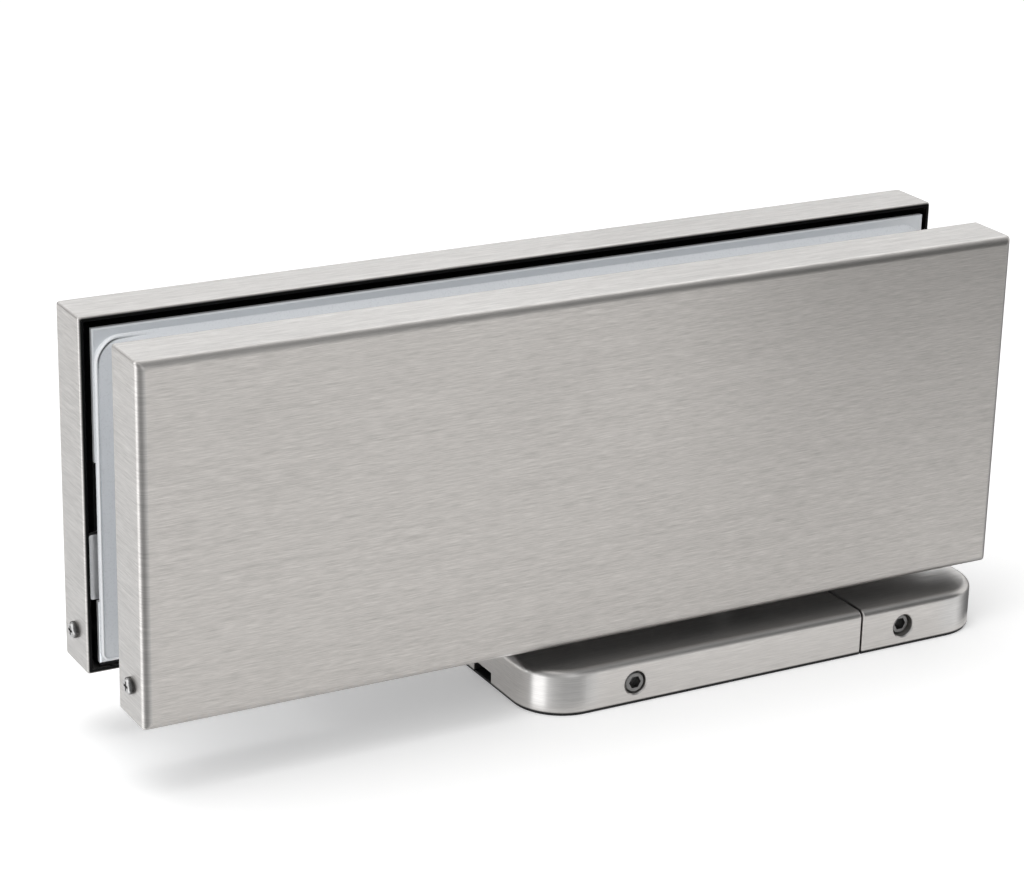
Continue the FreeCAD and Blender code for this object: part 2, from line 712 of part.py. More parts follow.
def make_shoe_pads():
    """The pads of both shoes."""
    main_inner = shoe_joint_offset - shoe_joint_gap / 2
    end_inner = shoe_joint_offset + shoe_joint_gap / 2
    main_pad = shoe_pad("main_pad", main_inner, shoe_left, True)
    end_pad = shoe_pad("end_pad", end_inner, shoe_right, False)
    return group("shoe_pads", [main_pad, end_pad])


def make_set_screws():
    """The set screws of both shoes; the short shoe's sit deeper."""
    long_pair = set_screw_pair("main_set_screw", -set_screw_offset, main_screw_recess)
    short_pair = set_screw_pair("end_set_screw", set_screw_offset, end_screw_recess)
    return group("shoe_set_screws", long_pair + short_pair)


def make_base_plate():
    """The floor plate: a square blind socket for the spindle and four countersunk holes."""
    body = new_body("base_plate")
    drawing = sketch(body, "XY_Plane")
    rectangle(drawing, -base_half_length, base_half_length, -base_half_width, base_half_width)
    pad(body, drawing, base_thickness)
    round_edges(body, shoe_corner_radius - shoe_wall, lambda edge: along(edge, Z))
    socket = sketch(body, "XY_Plane", base_thickness)
    half = tenon_width / 2 + socket_clearance
    rectangle(socket, -half, half, -half, half)
    cut(body, socket, base_thickness - socket_floor)
    holes = sketch(body, "XY_Plane")
    for side_x in (-1, 1):
        for side_y in (-1, 1):
            circle(holes, floor_hole_x * side_x, floor_hole_y * side_y, floor_hole_radius)
    cut(body, holes)
    bevel_edges(body, floor_sink_radius - floor_hole_radius, lambda edge: (
        edge.Curve.TypeId == "Part::GeomCircle"
        and abs(edge.Curve.Radius - number(floor_hole_radius)) < 1e-4
        and level(edge, Z, base_thickness)
    ))
    return body


keep(make_base_plate())
keep(make_shoe_main())
keep(make_shoe_end())
keep(make_shoe_pads())
keep(make_set_screws())


# Spindle with its pinion, and the rack that the pinion drives
def involute(angle):
    """The involute function of an angle in radians."""
    return math.tan(angle) - angle


def gap_half_angle(radius):
    """Half the angle of the gap between two pinion teeth at a radius."""
    pitch = number(pitch_radius)
    press = math.radians(number(pressure_angle))
    base = pitch * math.cos(press)
    tooth = math.pi * number(tooth_module) / 2 - number(tooth_backlash) / 2
    at = math.acos(min(1.0, base / max(radius, base)))
    half_tooth = tooth / (2 * pitch) + involute(press) - involute(at)
    return math.pi / number(pinion_teeth) - half_tooth


def polar(radius, angle):
    """A point in the pinion's plane."""
    return V(radius * math.cos(angle), radius * math.sin(angle), 0)


FLANK_POINTS = 7
GAP_OVERRUN = 0.3


def pinion_gap(middle):
    """One gap between two teeth: an involute flank each side, radial below the base circle."""
    root = number(pinion_root)
    tip = number(pinion_tip)
    base = number(pitch_radius) * math.cos(math.radians(number(pressure_angle)))
    start = max(root, base)
    radii = [start + (tip + GAP_OVERRUN - start) * i / (FLANK_POINTS - 1) for i in range(FLANK_POINTS)]
    edges = []
    ends = []
    for side in (-1, 1):
        flank = Part.BSplineCurve()
        points = [polar(r, middle + side * gap_half_angle(r)) for r in radii]
        flank.interpolate(points)
        foot = polar(root, middle + side * gap_half_angle(start))
        edges.append(flank.toShape())
        if start > root:
            edges.append(Part.LineSegment(foot, points[0]).toShape())
        ends.append((foot, points[-1]))
    edges.append(Part.Arc(ends[0][0], polar(root, middle), ends[1][0]).toShape())
    edges.append(Part.LineSegment(ends[0][1], ends[1][1]).toShape())
    wire = Part.Wire(Part.__sortEdges__(edges))
    return Part.Face(wire).extrude(V(0, 0, number(pinion_top - pinion_bottom)))


def make_spindle():
    """Square foot, lower journal, pinion and upper journal on one axis."""
    blank = turned_z("spindle_blank", [
        (base_thickness, 0),
        (base_thickness, journal_radius),
        (pinion_bottom, journal_radius),
        (pinion_bottom, pinion_tip),
        (pinion_top, pinion_tip),
        (pinion_top, upper_journal_radius),
        (spindle_top - turned_chamfer, upper_journal_radius),
        (spindle_top, upper_journal_radius - turned_chamfer),
        (spindle_top, 0),
    ])
    foot = sketch(blank, "XY_Plane", base_thickness)
    half = tenon_width / 2
    rectangle(foot, -half, half, -half, half)
    pad(blank, foot, base_thickness - socket_floor - socket_clearance, reverse=True)
    teeth = int(number(pinion_teeth))
    gaps = doc.addObject("Part::Feature", "pinion_gaps")
    gaps.Shape = Part.makeCompound([pinion_gap(math.pi / 2 + 2 * math.pi * i / teeth) for i in range(teeth)])
    gaps.Placement = FreeCAD.Placement(V(0, 0, number(pinion_bottom)), FreeCAD.Rotation())
    made = doc.addObject("Part::Cut", "spindle")
    made.Label = "spindle"
    made.Base = blank
    made.Tool = gaps
    return made


def rack_window():
    """The piston's window seen from above: plain at the back, a straight-sided rack in front."""
    pitch = math.pi * number(tooth_module)
    lean = math.tan(math.radians(number(pressure_angle)))
    half = pitch / 4 - number(tooth_backlash) / 4
    tip_half = half - lean * number(pitch_radius - rack_tip)
    root_half = half + lean * number(rack_root - pitch_radius)
    end = number(window_half_length)
    root = number(rack_root)
    tip = number(rack_tip)
    reach = int((end - root_half) / pitch)
    points = [V(end, -number(window_back), 0), V(end, root, 0)]
    for k in range(reach, -reach - 1, -1):
        x = k * pitch
        points.extend([V(x + root_half, root, 0), V(x + tip_half, tip, 0)])
        points.extend([V(x - tip_half, tip, 0), V(x - root_half, root, 0)])
    points.extend([V(-end, root, 0), V(-end, -number(window_back), 0)])
    points.append(points[0])
    face = Part.Face(Part.makePolygon(points))
    return face.extrude(V(0, 0, 2 * number(bore_radius)))


def make_piston():
    """A double-headed piston with ring grooves, a check valve chamber and the rack window."""
    groove_near = ring_offset - ring_width / 2
    groove_far = ring_offset + ring_width / 2
    groove_root = piston_radius - ring_depth
    blank = turned_x("piston_blank", [
        (-piston_half_length, 0),
        (-piston_half_length, piston_radius - turned_chamfer),
        (turned_chamfer - piston_half_length, piston_radius),
        (-groove_far, piston_radius),
        (-groove_far, groove_root),
        (-groove_near, groove_root),
        (-groove_near, piston_radius),
        (groove_near, piston_radius),
        (groove_near, groove_root),
        (groove_far, groove_root),
        (groove_far, piston_radius),
        (piston_half_length - turned_chamfer, piston_radius),
        (piston_half_length, piston_radius - turned_chamfer),
        (piston_half_length, 0),
    ])
    chamber = sketch(blank, "YZ_Plane", -piston_half_length)
    circle(chamber, 0, 0, check_bore_radius)
    cut(blank, chamber, check_bore_depth, reverse=True)
    port = sketch(blank, "YZ_Plane", -piston_half_length)
    circle(port, 0, 0, check_port_radius)
    cut(blank, port, piston_half_length, reverse=True)
    place(blank, 0, 0, bore_height)
    window = doc.addObject("Part::Feature", "rack_window")
    window.Shape = rack_window()
    window.Placement = FreeCAD.Placement(V(0, 0, number(bore_height - bore_radius)), FreeCAD.Rotation())
    made = doc.addObject("Part::Cut", "piston")
    made.Label = "piston"
    made.Base = blank
    made.Tool = window
    return made


def make_piston_rings():
    """Two sealing rings in the piston's grooves."""
    inner = piston_radius - ring_depth + ring_clearance
    outer = bore_radius - ring_clearance
    half = ring_width / 2 - ring_clearance
    ring = turned_x("piston_ring", tube_profile(-half, half, inner, outer))
    return group("piston_rings", [linked(ring, 0, ring_offset * side, 0, bore_height) for side in (-1, 1)])


def make_check_valve():
    """A loose ball over the oil port, held in by a drilled plug."""
    seat = piston_half_length - check_bore_depth
    ball = doc.addObject("Part::Sphere", "check_ball")
    ball.Label = "check_ball"
    bind(ball, "Radius", check_ball_radius)
    place(ball, -(seat + check_ball_radius), 0, bore_height)
    plug = turned_x("check_plug", tube_profile(
        0, check_plug_length, check_port_radius, check_bore_radius - running_clearance
    ))
    place(plug, -piston_half_length, 0, bore_height)
    return ball, plug


keep(make_spindle())
keep(make_piston())
keep(make_piston_rings())
for check_piece in make_check_valve():
    keep(check_piece)


# Hydraulic body and what it turns on
def clamp_screw_places():
    """The clamp screws' places on the tongue, as (x, z)."""
    places = []
    count = int(number(clamp_screw_upper_count))
    spacing = (clamp_screw_last - clamp_screw_first) / (clamp_screw_upper_count - 1)
    for i in range(count):
        places.append((clamp_screw_first + spacing * i, clamp_row_height))
    for height in (inner_floor, bore_height + cap_radius):
        places.append((clamp_column, height + clamp_screw_side_rise))
    return places


def make_hydraulic_body():
    """A block with the cylinder bore, the spindle bores and a tongue for the clamps."""
    body = new_body("hydraulic_body")
    block = sketch(body, "XZ_Plane")
    rectangle(block, body_left, body_right, inner_floor, body_top)
    pad(body, block, body_half * 2, symmetric=True)
    bevel_edges(body, body_chamfer, lambda edge: along(edge, X))
    tongue = sketch(body, "XZ_Plane")
    rectangle(tongue, tongue_left, body_right, inner_floor, tongue_top)
    pad(body, tongue, plate_gap, symmetric=True)
    bore = sketch(body, "YZ_Plane")
    circle(bore, 0, bore_height, bore_radius)
    cut(body, bore)
    for end, inward in ((body_right, False), (body_left, True)):
        seat = sketch(body, "YZ_Plane", end)
        circle(seat, 0, bore_height, cap_radius + thread_clearance)
        cut(body, seat, cap_length, reverse=inward)
    access = sketch(body, "YZ_Plane", tongue_left)
    circle(access, 0, bore_height, cap_radius + thread_clearance)
    cut(body, access, tongue_width, reverse=True)
    for height, radius, upward in (
        (bore_height - inner_floor, bush_radius, False),
        (washer_top - bore_height, washer_radius + running_clearance, True),
        (upper_bush_top - bore_height, upper_bush_radius, True),
    ):
        hole = sketch(body, "XY_Plane", bore_height)
        circle(hole, 0, 0, radius)
        cut(body, hole, height, reverse=upward)
    valves = sketch(body, "XZ_Plane", body_half)
    for offset in (sweep_valve_offset, latch_valve_offset):
        circle(valves, offset, valve_height, valve_radius + running_clearance)
    cut(body, valves, valve_length + valve_recess)
    bolts = sketch(body, "XZ_Plane")
    for x, z in clamp_screw_places():
        circle(bolts, x, z, clamp_screw_radius + clamp_screw_room)
    cut(body, bolts)
    ends = sketch(body, "YZ_Plane", body_right)
    for side in (-1, 1):
        circle(ends, cover_screw_offset * side, screw_height, cover_screw_radius + thread_clearance)
    cut(body, ends, cover_screw_length - body_right_inset + cut_overrun)
    return body


def make_bearings():
    """Bushes, seal and thrust washer on the spindle's axis."""
    seal_top = inner_floor + seal_height
    washer_low = washer_top - washer_thickness
    running = journal_radius + running_clearance
    upper = upper_journal_radius + running_clearance
    return [
        turned_z("spindle_seal", tube_profile(inner_floor, seal_top, running, bush_radius)),
        turned_z("lower_bush", tube_profile(seal_top, bush_top, running, bush_radius)),
        turned_z("thrust_washer", tube_profile(washer_low, washer_top, upper, washer_radius)),
        turned_z("upper_bush", tube_profile(washer_top, upper_bush_top, upper, upper_bush_radius)),
    ]


def end_cap(label, sign):
    """A threaded plug with a groove for its sealing ring and a hexagon socket outside."""
    near = seal_groove_offset
    far = seal_groove_offset + seal_section * groove_width
    root = cap_radius - seal_section * groove_depth
    cap = turned_x(label, [
        (0, 0),
        (0, cap_radius),
        (near * sign, cap_radius),
        (near * sign, root),
        (far * sign, root),
        (far * sign, cap_radius),
        ((cap_length - turned_chamfer) * sign, cap_radius),
        (cap_length * sign, cap_radius - turned_chamfer),
        (cap_length * sign, 0),
    ])
    socket = sketch(cap, "YZ_Plane", cap_length * sign)
    hexagon(socket, as_size(0), as_size(0), cap_socket)
    cut(cap, socket, cap_socket_depth, reverse=sign < 0)
    return cap


def make_end_caps():
    """Both end caps with their sealing rings."""
    left = place(end_cap("left_end_cap", -1), left_chamber, 0, bore_height)
    right = place(end_cap("right_end_cap", 1), right_chamber, 0, bore_height)
    middle = seal_groove_offset + seal_section * groove_width / 2
    rings = []
    for x in (left_chamber - middle, right_chamber + middle):
        ring = doc.addObject("Part::Torus", "cap_seal")
        bind(ring, "Radius1", cap_radius - seal_section)
        bind(ring, "Radius2", seal_section)
        ring.Placement = FreeCAD.Placement(V(0, 0, 0), FreeCAD.Rotation(Y, 90))
        rings.append(place(ring, x, 0, bore_height))
    return [left, right, group("cap_seals", rings)]


def speed_valve(name, offset):
    """A speed screw with a driver slot, and the ring in its groove."""
    radius = valve_radius
    middle = valve_length / 2
    half = valve_ring_section * groove_width / 2
    root = radius - valve_ring_section * groove_depth
    valve = turned_y(name, [
        (0, 0),
        (0, radius),
        (middle - half, radius),
        (middle - half, root),
        (middle + half, root),
        (middle + half, radius),
        (valve_length - radius, radius),
        (valve_length, valve_tip_radius),
        (valve_length, 0),
    ])
    slot = sketch(valve, "XZ_Plane")
    rectangle(slot, -radius, radius, -(valve_slot_width / 2), valve_slot_width / 2)
    cut(valve, slot, valve_slot_depth)
    front = valve_recess - body_half
    place(valve, offset, front, valve_height)
    ring = doc.addObject("Part::Torus", name + "_ring")
    ring.Label = name + "_ring"
    bind(ring, "Radius1", radius - valve_ring_section)
    bind(ring, "Radius2", valve_ring_section)
    ring.Placement = FreeCAD.Placement(V(0, 0, 0), FreeCAD.Rotation(X, 90))
    place(ring, offset, front + middle, valve_height)
    return valve, ring


def spring(label, start, end, turns):
    """A round-wire spring along the bore, ground flat at both ends."""
    helix = doc.addObject("Part::Helix", label + "_line")
    bind(helix, "Radius", spring_radius)
    bind(helix, "Height", end - start)
    bind(helix, "Pitch", (end - start) / turns)
    helix.Placement = FreeCAD.Placement(V(0, 0, 0), FreeCAD.Rotation(Y, 90))
    place(helix, start, 0, bore_height)
    section = doc.addObject("Part::Circle", label + "_section")
    bind(section, "Radius", spring_wire)
    section.Placement = FreeCAD.Placement(V(0, 0, 0), FreeCAD.Rotation(X, 90))
    place(section, start, 0, bore_height - spring_radius)
    doc.recompute()
    coil = doc.addObject("Part::Sweep", label + "_coil")
    coil.Sections = [section]
    coil.Spine = (helix, ["Edge%d" % (i + 1) for i in range(len(helix.Shape.Edges))])
    coil.Solid = True
    coil.Frenet = True
    room = doc.addObject("Part::Cylinder", label + "_length")
    bind(room, "Radius", bore_radius)
    bind(room, "Height", end - start)
    room.Placement = FreeCAD.Placement(V(0, 0, 0), FreeCAD.Rotation(Y, 90))
    place(room, start, 0, bore_height)
    made = doc.addObject("Part::Common", label)
    made.Label = label
    made.Base = coil
    made.Tool = room
    return made


keep(make_hydraulic_body())
for bearing in make_bearings():
    keep(bearing)
for cap_piece in make_end_caps():
    keep(cap_piece)
for valve_name, valve_offset in (("sweep_valve", sweep_valve_offset), ("latch_valve", latch_valve_offset)):
    for valve_piece in speed_valve(valve_name, valve_offset):
        keep(valve_piece)
keep(spring("left_spring", left_chamber, -piston_half_length, left_spring_turns))
keep(spring("right_spring", piston_half_length, right_chamber, right_spring_turns))


# Glass clamps: gasket, pressure plate and casting on each side of the glass
def sheet_between(body, drawing, near, far, side):
    """Raise a sketch of the front or rear sheet, given in distances from the middle plane."""
    return pad(body, drawing, far - near, reverse=side > 0)


def side_sketch(body, distance, side):
    """A sketch parallel to the glass at a distance from the middle plane."""
    return sketch(body, "XZ_Plane", distance * -side)


def make_gasket(label, side):
    """A pad on the glass side of a plate."""
    body = new_body(label)
    left = plate_left + gasket_side_inset
    right = plate_right - gasket_side_inset
    inner_x = tongue_left - gasket_tongue_gap
    inner_z = tongue_top + gasket_tongue_gap
    top = plate_top - gasket_top_inset
    low = plate_bottom + gasket_bottom_inset
    drawing = side_sketch(body, gasket_face, side)
    outline(drawing, [
        (left, low),
        (inner_x, low),
        (inner_x, inner_z),
        (right, inner_z),
        (right, top),
        (left, top),
    ])
    sheet_between(body, drawing, gasket_face, plate_face, side)
    corners = ((left, top), (right, top))
    round_edges(body, gasket_corner_radius, lambda edge: along(edge, Y) and any(
        level(edge, X, x) and level(edge, Z, z) for x, z in corners
    ))
    round_edges(body, gasket_lower_radius, lambda edge: (
        along(edge, Y) and level(edge, X, left) and level(edge, Z, low)
    ))
    return body


def make_plate(label, side):
    """A plate that follows the glass, with a notch for the cover catch in its left edge."""
    body = new_body(label)
    drawing = side_sketch(body, plate_face, side)
    notch_low = cover_bottom + plate_notch_bottom
    notch_high = cover_bottom + plate_notch_top
    notch_x = plate_left + plate_notch_depth
    outline(drawing, [
        (plate_left, plate_bottom),
        (cutout_left, plate_bottom),
        (cutout_left, cutout_top),
        (plate_right, cutout_top),
        (plate_right, plate_top),
        (plate_left, plate_top),
        (plate_left, notch_high),
        (notch_x, notch_high),
        (notch_x, notch_low),
        (plate_left, notch_low),
    ])
    sheet_between(body, drawing, plate_face, plate_back, side)
    bevel_edges(body, plate_bevel, lambda edge: level(edge, Y, plate_face * side))
    holes = sketch(body, "XZ_Plane")
    for x, z in clamp_screw_places():
        circle(holes, x, z, clamp_screw_radius + clamp_screw_room)
    cut(body, holes)
    return body


def clamp_pocket_rows():
    """The casting's pockets as (left, right, bottom, top): a row along the top and one at the side."""
    row_left = clamp_left + clamp_rib
    row_right = clamp_right - clamp_rib
    width = (row_right - row_left + clamp_rib) / clamp_pockets
    low = tongue_top + clamp_rib / 2
    high = clamp_top - clamp_rib
    rows = []
    for i in range(int(number(clamp_pockets))):
        x = row_left + width * i
        rows.append((x, x + width - clamp_rib, low, high))
    side_low = screw_height + clamp_rib
    rows.append((catch_seat_right + clamp_web, tongue_left - clamp_rib / 2, side_low, low - clamp_rib))
    return rows


def make_clamp(label, side):
    """A ribbed casting with bolt holes; the rear one takes the bolts' threads."""
    body = new_body(label)
    drawing = side_sketch(body, plate_back, side)
    outline(drawing, [
        (clamp_left, inner_floor),
        (cutout_left, inner_floor),
        (cutout_left, cutout_top),
        (clamp_right, cutout_top),
        (clamp_right, clamp_top),
        (clamp_left, clamp_top),
    ])
    sheet_between(body, drawing, plate_back, clamp_back, side)
    pockets = side_sketch(body, clamp_back, side)
    for x0, x1, z0, z1 in clamp_pocket_rows():
        rectangle(pockets, x0, x1, z0, z1)
    cut(body, pockets, clamp_thickness - clamp_web, reverse=side > 0)
    corners = [(x, z) for x0, x1, z0, z1 in clamp_pocket_rows() for x in (x0, x1) for z in (z0, z1)]
    round_edges(body, clamp_fillet, lambda edge: along(edge, Y) and any(
        level(edge, X, x) and level(edge, Z, z) for x, z in corners
    ))
    seat = side_sketch(body, plate_back, side)
    seat_low = cover_bottom + catch_lug_bottom - catch_margin - catch_room
    rectangle(seat, clamp_left, catch_seat_right, seat_low, cover_bottom + plate_notch_top + catch_room)
    cut(body, seat, catch_recess, reverse=side < 0)
    bolts = sketch(body, "XZ_Plane")
    room = clamp_screw_room if side < 0 else thread_clearance
    for x, z in clamp_screw_places():
        circle(bolts, x, z, clamp_screw_radius + room)
    cut(body, bolts)
    if side < 0:
        heads = side_sketch(body, clamp_back, side)
        for x, z in clamp_screw_places():
            circle(heads, x, z, clamp_screw_head_radius + clamp_screw_room)
        cut(body, heads, clamp_screw_head_height)
    ends = sketch(body, "YZ_Plane", clamp_left)
    circle(ends, cover_screw_offset * side, screw_height, cover_screw_radius + thread_clearance)
    cut(body, ends, cover_screw_length, reverse=True)
    return body


def make_catch():
    """A flat catch whose lug reaches out to the cover's end wall."""
    body = new_body("cover_catch")
    tip = left_end + cover_sheet + catch_reach
    low = cover_bottom + catch_lug_bottom
    high = low + catch_lug_height
    bottom = low - catch_margin
    top = cover_bottom + plate_notch_top
    drawing = sketch(body, "XZ_Plane", -(catch_seat - catch_sheet))
    outline(drawing, [
        (catch_left, bottom),
        (catch_left + catch_width, bottom),
        (catch_left + catch_width, top),
        (catch_left, top),
        (catch_left, high),
        (tip, high),
        (tip, low),
        (catch_left, low),
    ])
    pad(body, drawing, catch_sheet, reverse=True)
    round_edges(body, catch_fillet, lambda edge: (
        along(edge, Y) and level(edge, X, catch_left) and level(edge, Z, high)
    ))
    round_edges(body, catch_corner, lambda edge: along(edge, Y) and level(edge, X, tip))
    return body


def make_clamp_screws():
    """Cylinder-head bolts from the front casting through the tongue into the rear one."""
    head = clamp_screw_head_height
    grip = clamp_back - clamp_screw_head_height + plate_back + clamp_screw_grip
    screw = turned_y("clamp_screw", [
        (0, 0),
        (0, clamp_screw_head_radius - turned_chamfer),
        (turned_chamfer, clamp_screw_head_radius),
        (head, clamp_screw_head_radius),
        (head, clamp_screw_radius),
        (head + grip - turned_chamfer, clamp_screw_radius),
        (head + grip, clamp_screw_radius - turned_chamfer),
        (head + grip, 0),
    ])
    socket = sketch(screw, "XZ_Plane")
    hexagon(socket, as_size(0), as_size(0), clamp_screw_socket)
    cut(screw, socket, head / 2)
    return group("clamp_screws", [linked(screw, 0, x, -clamp_back, z) for x, z in clamp_screw_places()])


for word, facing in (("front", -1), ("rear", 1)):
    keep(make_gasket(word + "_gasket", facing))
    keep(make_plate(word + "_pressure_plate", facing))
    keep(make_clamp(word + "_clamp", facing))
catch = make_catch()
keep(group("cover_catches", [linked(catch, 0, 0, 0, 0), mirrored("front_catch", catch, Y)]))
keep(make_clamp_screws())

# Check every object before anything is written
doc.recompute()
for item in doc.Objects:
    if "Invalid" in item.State or "Error" in item.State:
        raise RuntimeError("%s failed" % item.Label)
for item in nodes:
    if item.Shape.isNull() or not item.Shape.isValid() or not item.Shape.Solids:
        raise RuntimeError("%s has no sound shape" % item.Label)
os.makedirs("parts", exist_ok=True)
for item in nodes:
    item.Shape.exportStep("parts/%s.step" % item.Label)
    print("%s: %d solid, %.1f mm3" % (item.Label, len(item.Shape.Solids), item.Shape.Volume))
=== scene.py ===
import math

import bpy
import numpy as np
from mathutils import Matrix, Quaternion, Vector


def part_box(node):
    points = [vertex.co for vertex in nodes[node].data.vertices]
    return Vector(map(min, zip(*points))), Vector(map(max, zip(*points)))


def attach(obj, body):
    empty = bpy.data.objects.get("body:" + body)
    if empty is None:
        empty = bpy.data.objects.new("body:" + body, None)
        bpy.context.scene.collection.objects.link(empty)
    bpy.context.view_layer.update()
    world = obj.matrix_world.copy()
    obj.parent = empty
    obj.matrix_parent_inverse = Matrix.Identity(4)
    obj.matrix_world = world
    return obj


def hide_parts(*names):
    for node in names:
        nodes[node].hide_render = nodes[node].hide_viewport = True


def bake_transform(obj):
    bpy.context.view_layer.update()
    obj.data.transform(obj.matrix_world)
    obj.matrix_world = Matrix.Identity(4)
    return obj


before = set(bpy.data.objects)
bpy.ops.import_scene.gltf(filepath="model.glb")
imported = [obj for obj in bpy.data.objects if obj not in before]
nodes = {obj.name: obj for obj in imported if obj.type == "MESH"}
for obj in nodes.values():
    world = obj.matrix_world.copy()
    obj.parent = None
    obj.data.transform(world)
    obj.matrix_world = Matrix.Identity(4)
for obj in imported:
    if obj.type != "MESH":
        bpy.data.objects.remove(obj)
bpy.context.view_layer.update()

MILLIMETRE = 0.001


# Shader building blocks

BEVEL_SAMPLES = 6
EDGE_START = 0.97
EDGE_FULL = 0.80
LEVEL_START = 0.6
LEVEL_FULL = 0.8


class Finish:
    """One material: its node tree, its main shader, and short ways to add nodes to it."""

    def __init__(self, name, colour, metal, rough):
        """Start from a plain shader with its constant values on its own sockets."""
        self.material = bpy.data.materials.new(name)
        self.material.use_nodes = True
        self.tree = self.material.node_tree
        self.shader = next(n for n in self.tree.nodes if n.type == "BSDF_PRINCIPLED")
        self.colour = colour
        self.shader.inputs["Base Color"].default_value = (*colour, 1)
        self.shader.inputs["Metallic"].default_value = metal
        self.shader.inputs["Roughness"].default_value = rough

    def node(self, kind, **settings):
        """Add a node and set its plain properties."""
        made = self.tree.nodes.new(kind)
        for key, value in settings.items():
            setattr(made, key, value)
        return made

    def link(self, source, target):
        """Join an output to an input."""
        self.tree.links.new(source, target)

    def feed(self, target, value):
        """Give an input a number, or join an output to it."""
        if isinstance(value, bpy.types.NodeSocket):
            self.link(value, target)
        else:
            target.default_value = value

    def math(self, operation, first, second=0.0):
        """One sum of two numbers or outputs."""
        made = self.node("ShaderNodeMath", operation=operation)
        self.feed(made.inputs[0], first)
        self.feed(made.inputs[1], second)
        return made.outputs[0]

    def mixture(self, *shares):
        """Several outputs added together, each times its share, which is a number or an output."""
        total = 0.0
        for value, share in shares:
            total = self.math("ADD", total, self.math("MULTIPLY", value, share))
        return total

    def ranged(self, value, low, high, start=0.0, end=1.0):
        """Carry a value from the span low..high to the span start..end, clamped."""
        made = self.node("ShaderNodeMapRange")
        self.link(value, made.inputs["Value"])
        for name, amount in (("From Min", low), ("From Max", high), ("To Min", start), ("To Max", end)):
            made.inputs[name].default_value = amount
        return made.outputs["Result"]

    def place(self):
        """The point's place on the object."""
        return self.node("ShaderNodeTexCoord").outputs["Object"]

    def attribute(self, name):
        """A number that the mesh carries at each point."""
        return self.node("ShaderNodeAttribute", attribute_name=name).outputs["Fac"]

    def noise(self, vector, scale, detail, rough):
        """Cloudy noise of a given number of features to the metre in each direction."""
        mapping = self.node("ShaderNodeMapping")
        self.link(vector, mapping.inputs["Vector"])
        mapping.inputs["Scale"].default_value = scale
        made = self.node("ShaderNodeTexNoise")
        self.link(mapping.outputs["Vector"], made.inputs["Vector"])
        made.inputs["Scale"].default_value = 1.0
        made.inputs["Detail"].default_value = detail
        made.inputs["Roughness"].default_value = rough
        return made.outputs["Fac"]

    def edge_mask(self, radius):
        """1 on sharp edges, 0 on flats: how far the rounded normal leaves the true one."""
        rounded = self.node("ShaderNodeBevel", samples=BEVEL_SAMPLES)
        rounded.inputs["Radius"].default_value = radius
        true = self.node("ShaderNodeNewGeometry")
        dot = self.node("ShaderNodeVectorMath", operation="DOT_PRODUCT")
        self.link(rounded.outputs["Normal"], dot.inputs[0])
        self.link(true.outputs["Normal"], dot.inputs[1])
        return self.ranged(dot.outputs["Value"], EDGE_START, EDGE_FULL)

    def shades(self, value, dark, light):
        """The finish's colour, times dark where the value is low and times light where it is high."""
        made = self.node("ShaderNodeMix", data_type="RGBA")
        self.link(value, made.inputs["Factor"])
        made.inputs[6].default_value = (*[c * dark for c in self.colour], 1)
        made.inputs[7].default_value = (*[min(c * light, 1.0) for c in self.colour], 1)
        return made.outputs[2]

    def blend(self, value, first, second):
        """One colour output, giving way to a colour where the value is high."""
        made = self.node("ShaderNodeMix", data_type="RGBA")
        self.link(value, made.inputs["Factor"])
        self.link(first, made.inputs[6])
        made.inputs[7].default_value = (*second, 1)
        return made.outputs[2]

    def times(self, factor):
        """The finish's colour times a factor, kept below white."""
        return [min(c * factor, 1.0) for c in self.colour]

    def bump(self, height, strength, distance):
        """Raise the surface by a height value."""
        made = self.node("ShaderNodeBump")
        made.inputs["Strength"].default_value = strength
        made.inputs["Distance"].default_value = distance
        self.link(height, made.inputs["Height"])
        self.link(made.outputs["Normal"], self.shader.inputs["Normal"])

    def use(self, colour, rough):
        """Join the worked-out colour and roughness to the shader."""
        self.link(colour, self.shader.inputs["Base Color"])
        self.link(rough, self.shader.inputs["Roughness"])
        return self.material


def facing_parts(finish):
    """The three parts of the surface's own direction, as outputs."""
    parts = finish.node("ShaderNodeSeparateXYZ")
    finish.link(finish.node("ShaderNodeTexCoord").outputs["Normal"], parts.inputs[0])
    return parts.outputs


def place_parts(finish):
    """The three parts of the point's place on the object, as outputs."""
    parts = finish.node("ShaderNodeSeparateXYZ")
    finish.link(finish.place(), parts.inputs[0])
    return parts.outputs


def by_level(finish, on_sides, on_level):
    """One vector on upright faces and another on level ones."""
    level = finish.ranged(finish.math("ABSOLUTE", facing_parts(finish)["Z"]), LEVEL_START, LEVEL_FULL)
    mix = finish.node("ShaderNodeMix", data_type="VECTOR")
    finish.link(level, mix.inputs["Factor"])
    finish.feed(mix.inputs[4], on_sides)
    finish.feed(mix.inputs[5], on_level)
    return mix.outputs[1]


def grain_place(finish):
    """The place, with Y and Z exchanged on level faces so that grain runs along X there too."""
    parts = place_parts(finish)
    swapped = finish.node("ShaderNodeCombineXYZ")
    for source, target in (("X", "X"), ("Z", "Y"), ("Y", "Z")):
        finish.link(parts[source], swapped.inputs[target])
    return by_level(finish, finish.place(), swapped.outputs[0])


# Brushed stainless steel

COVER_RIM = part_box("rear_cover")[0][1]
# Where the covers' cut edge is darkened to near black as painted shade
RIM_FADE = 0.30 * MILLIMETRE
RIM_FULL = 0.15 * MILLIMETRE
RIM_TURNED = 0.70
RIM_FACING = 0.92

SHOE_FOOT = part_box("shoe_main")[0][2]
# Painted contact shadow: a dark band just above the shoe's floor line, and the near black used for painted
# shade
CONTACT_SHADOW_START = 0.12 * MILLIMETRE
CONTACT_SHADOW_END = 0.42 * MILLIMETRE
SHADE_BLACK = (0.012, 0.012, 0.012)

TOP_START = 0.80
TOP_FULL = 0.98
TOP_DULLNESS = 0.16

# Painted shade: faces that look down are darkened
UNDERSIDE_START = -0.75
UNDERSIDE_FULL = -0.95
UNDERSIDE_SHADE = 0.12

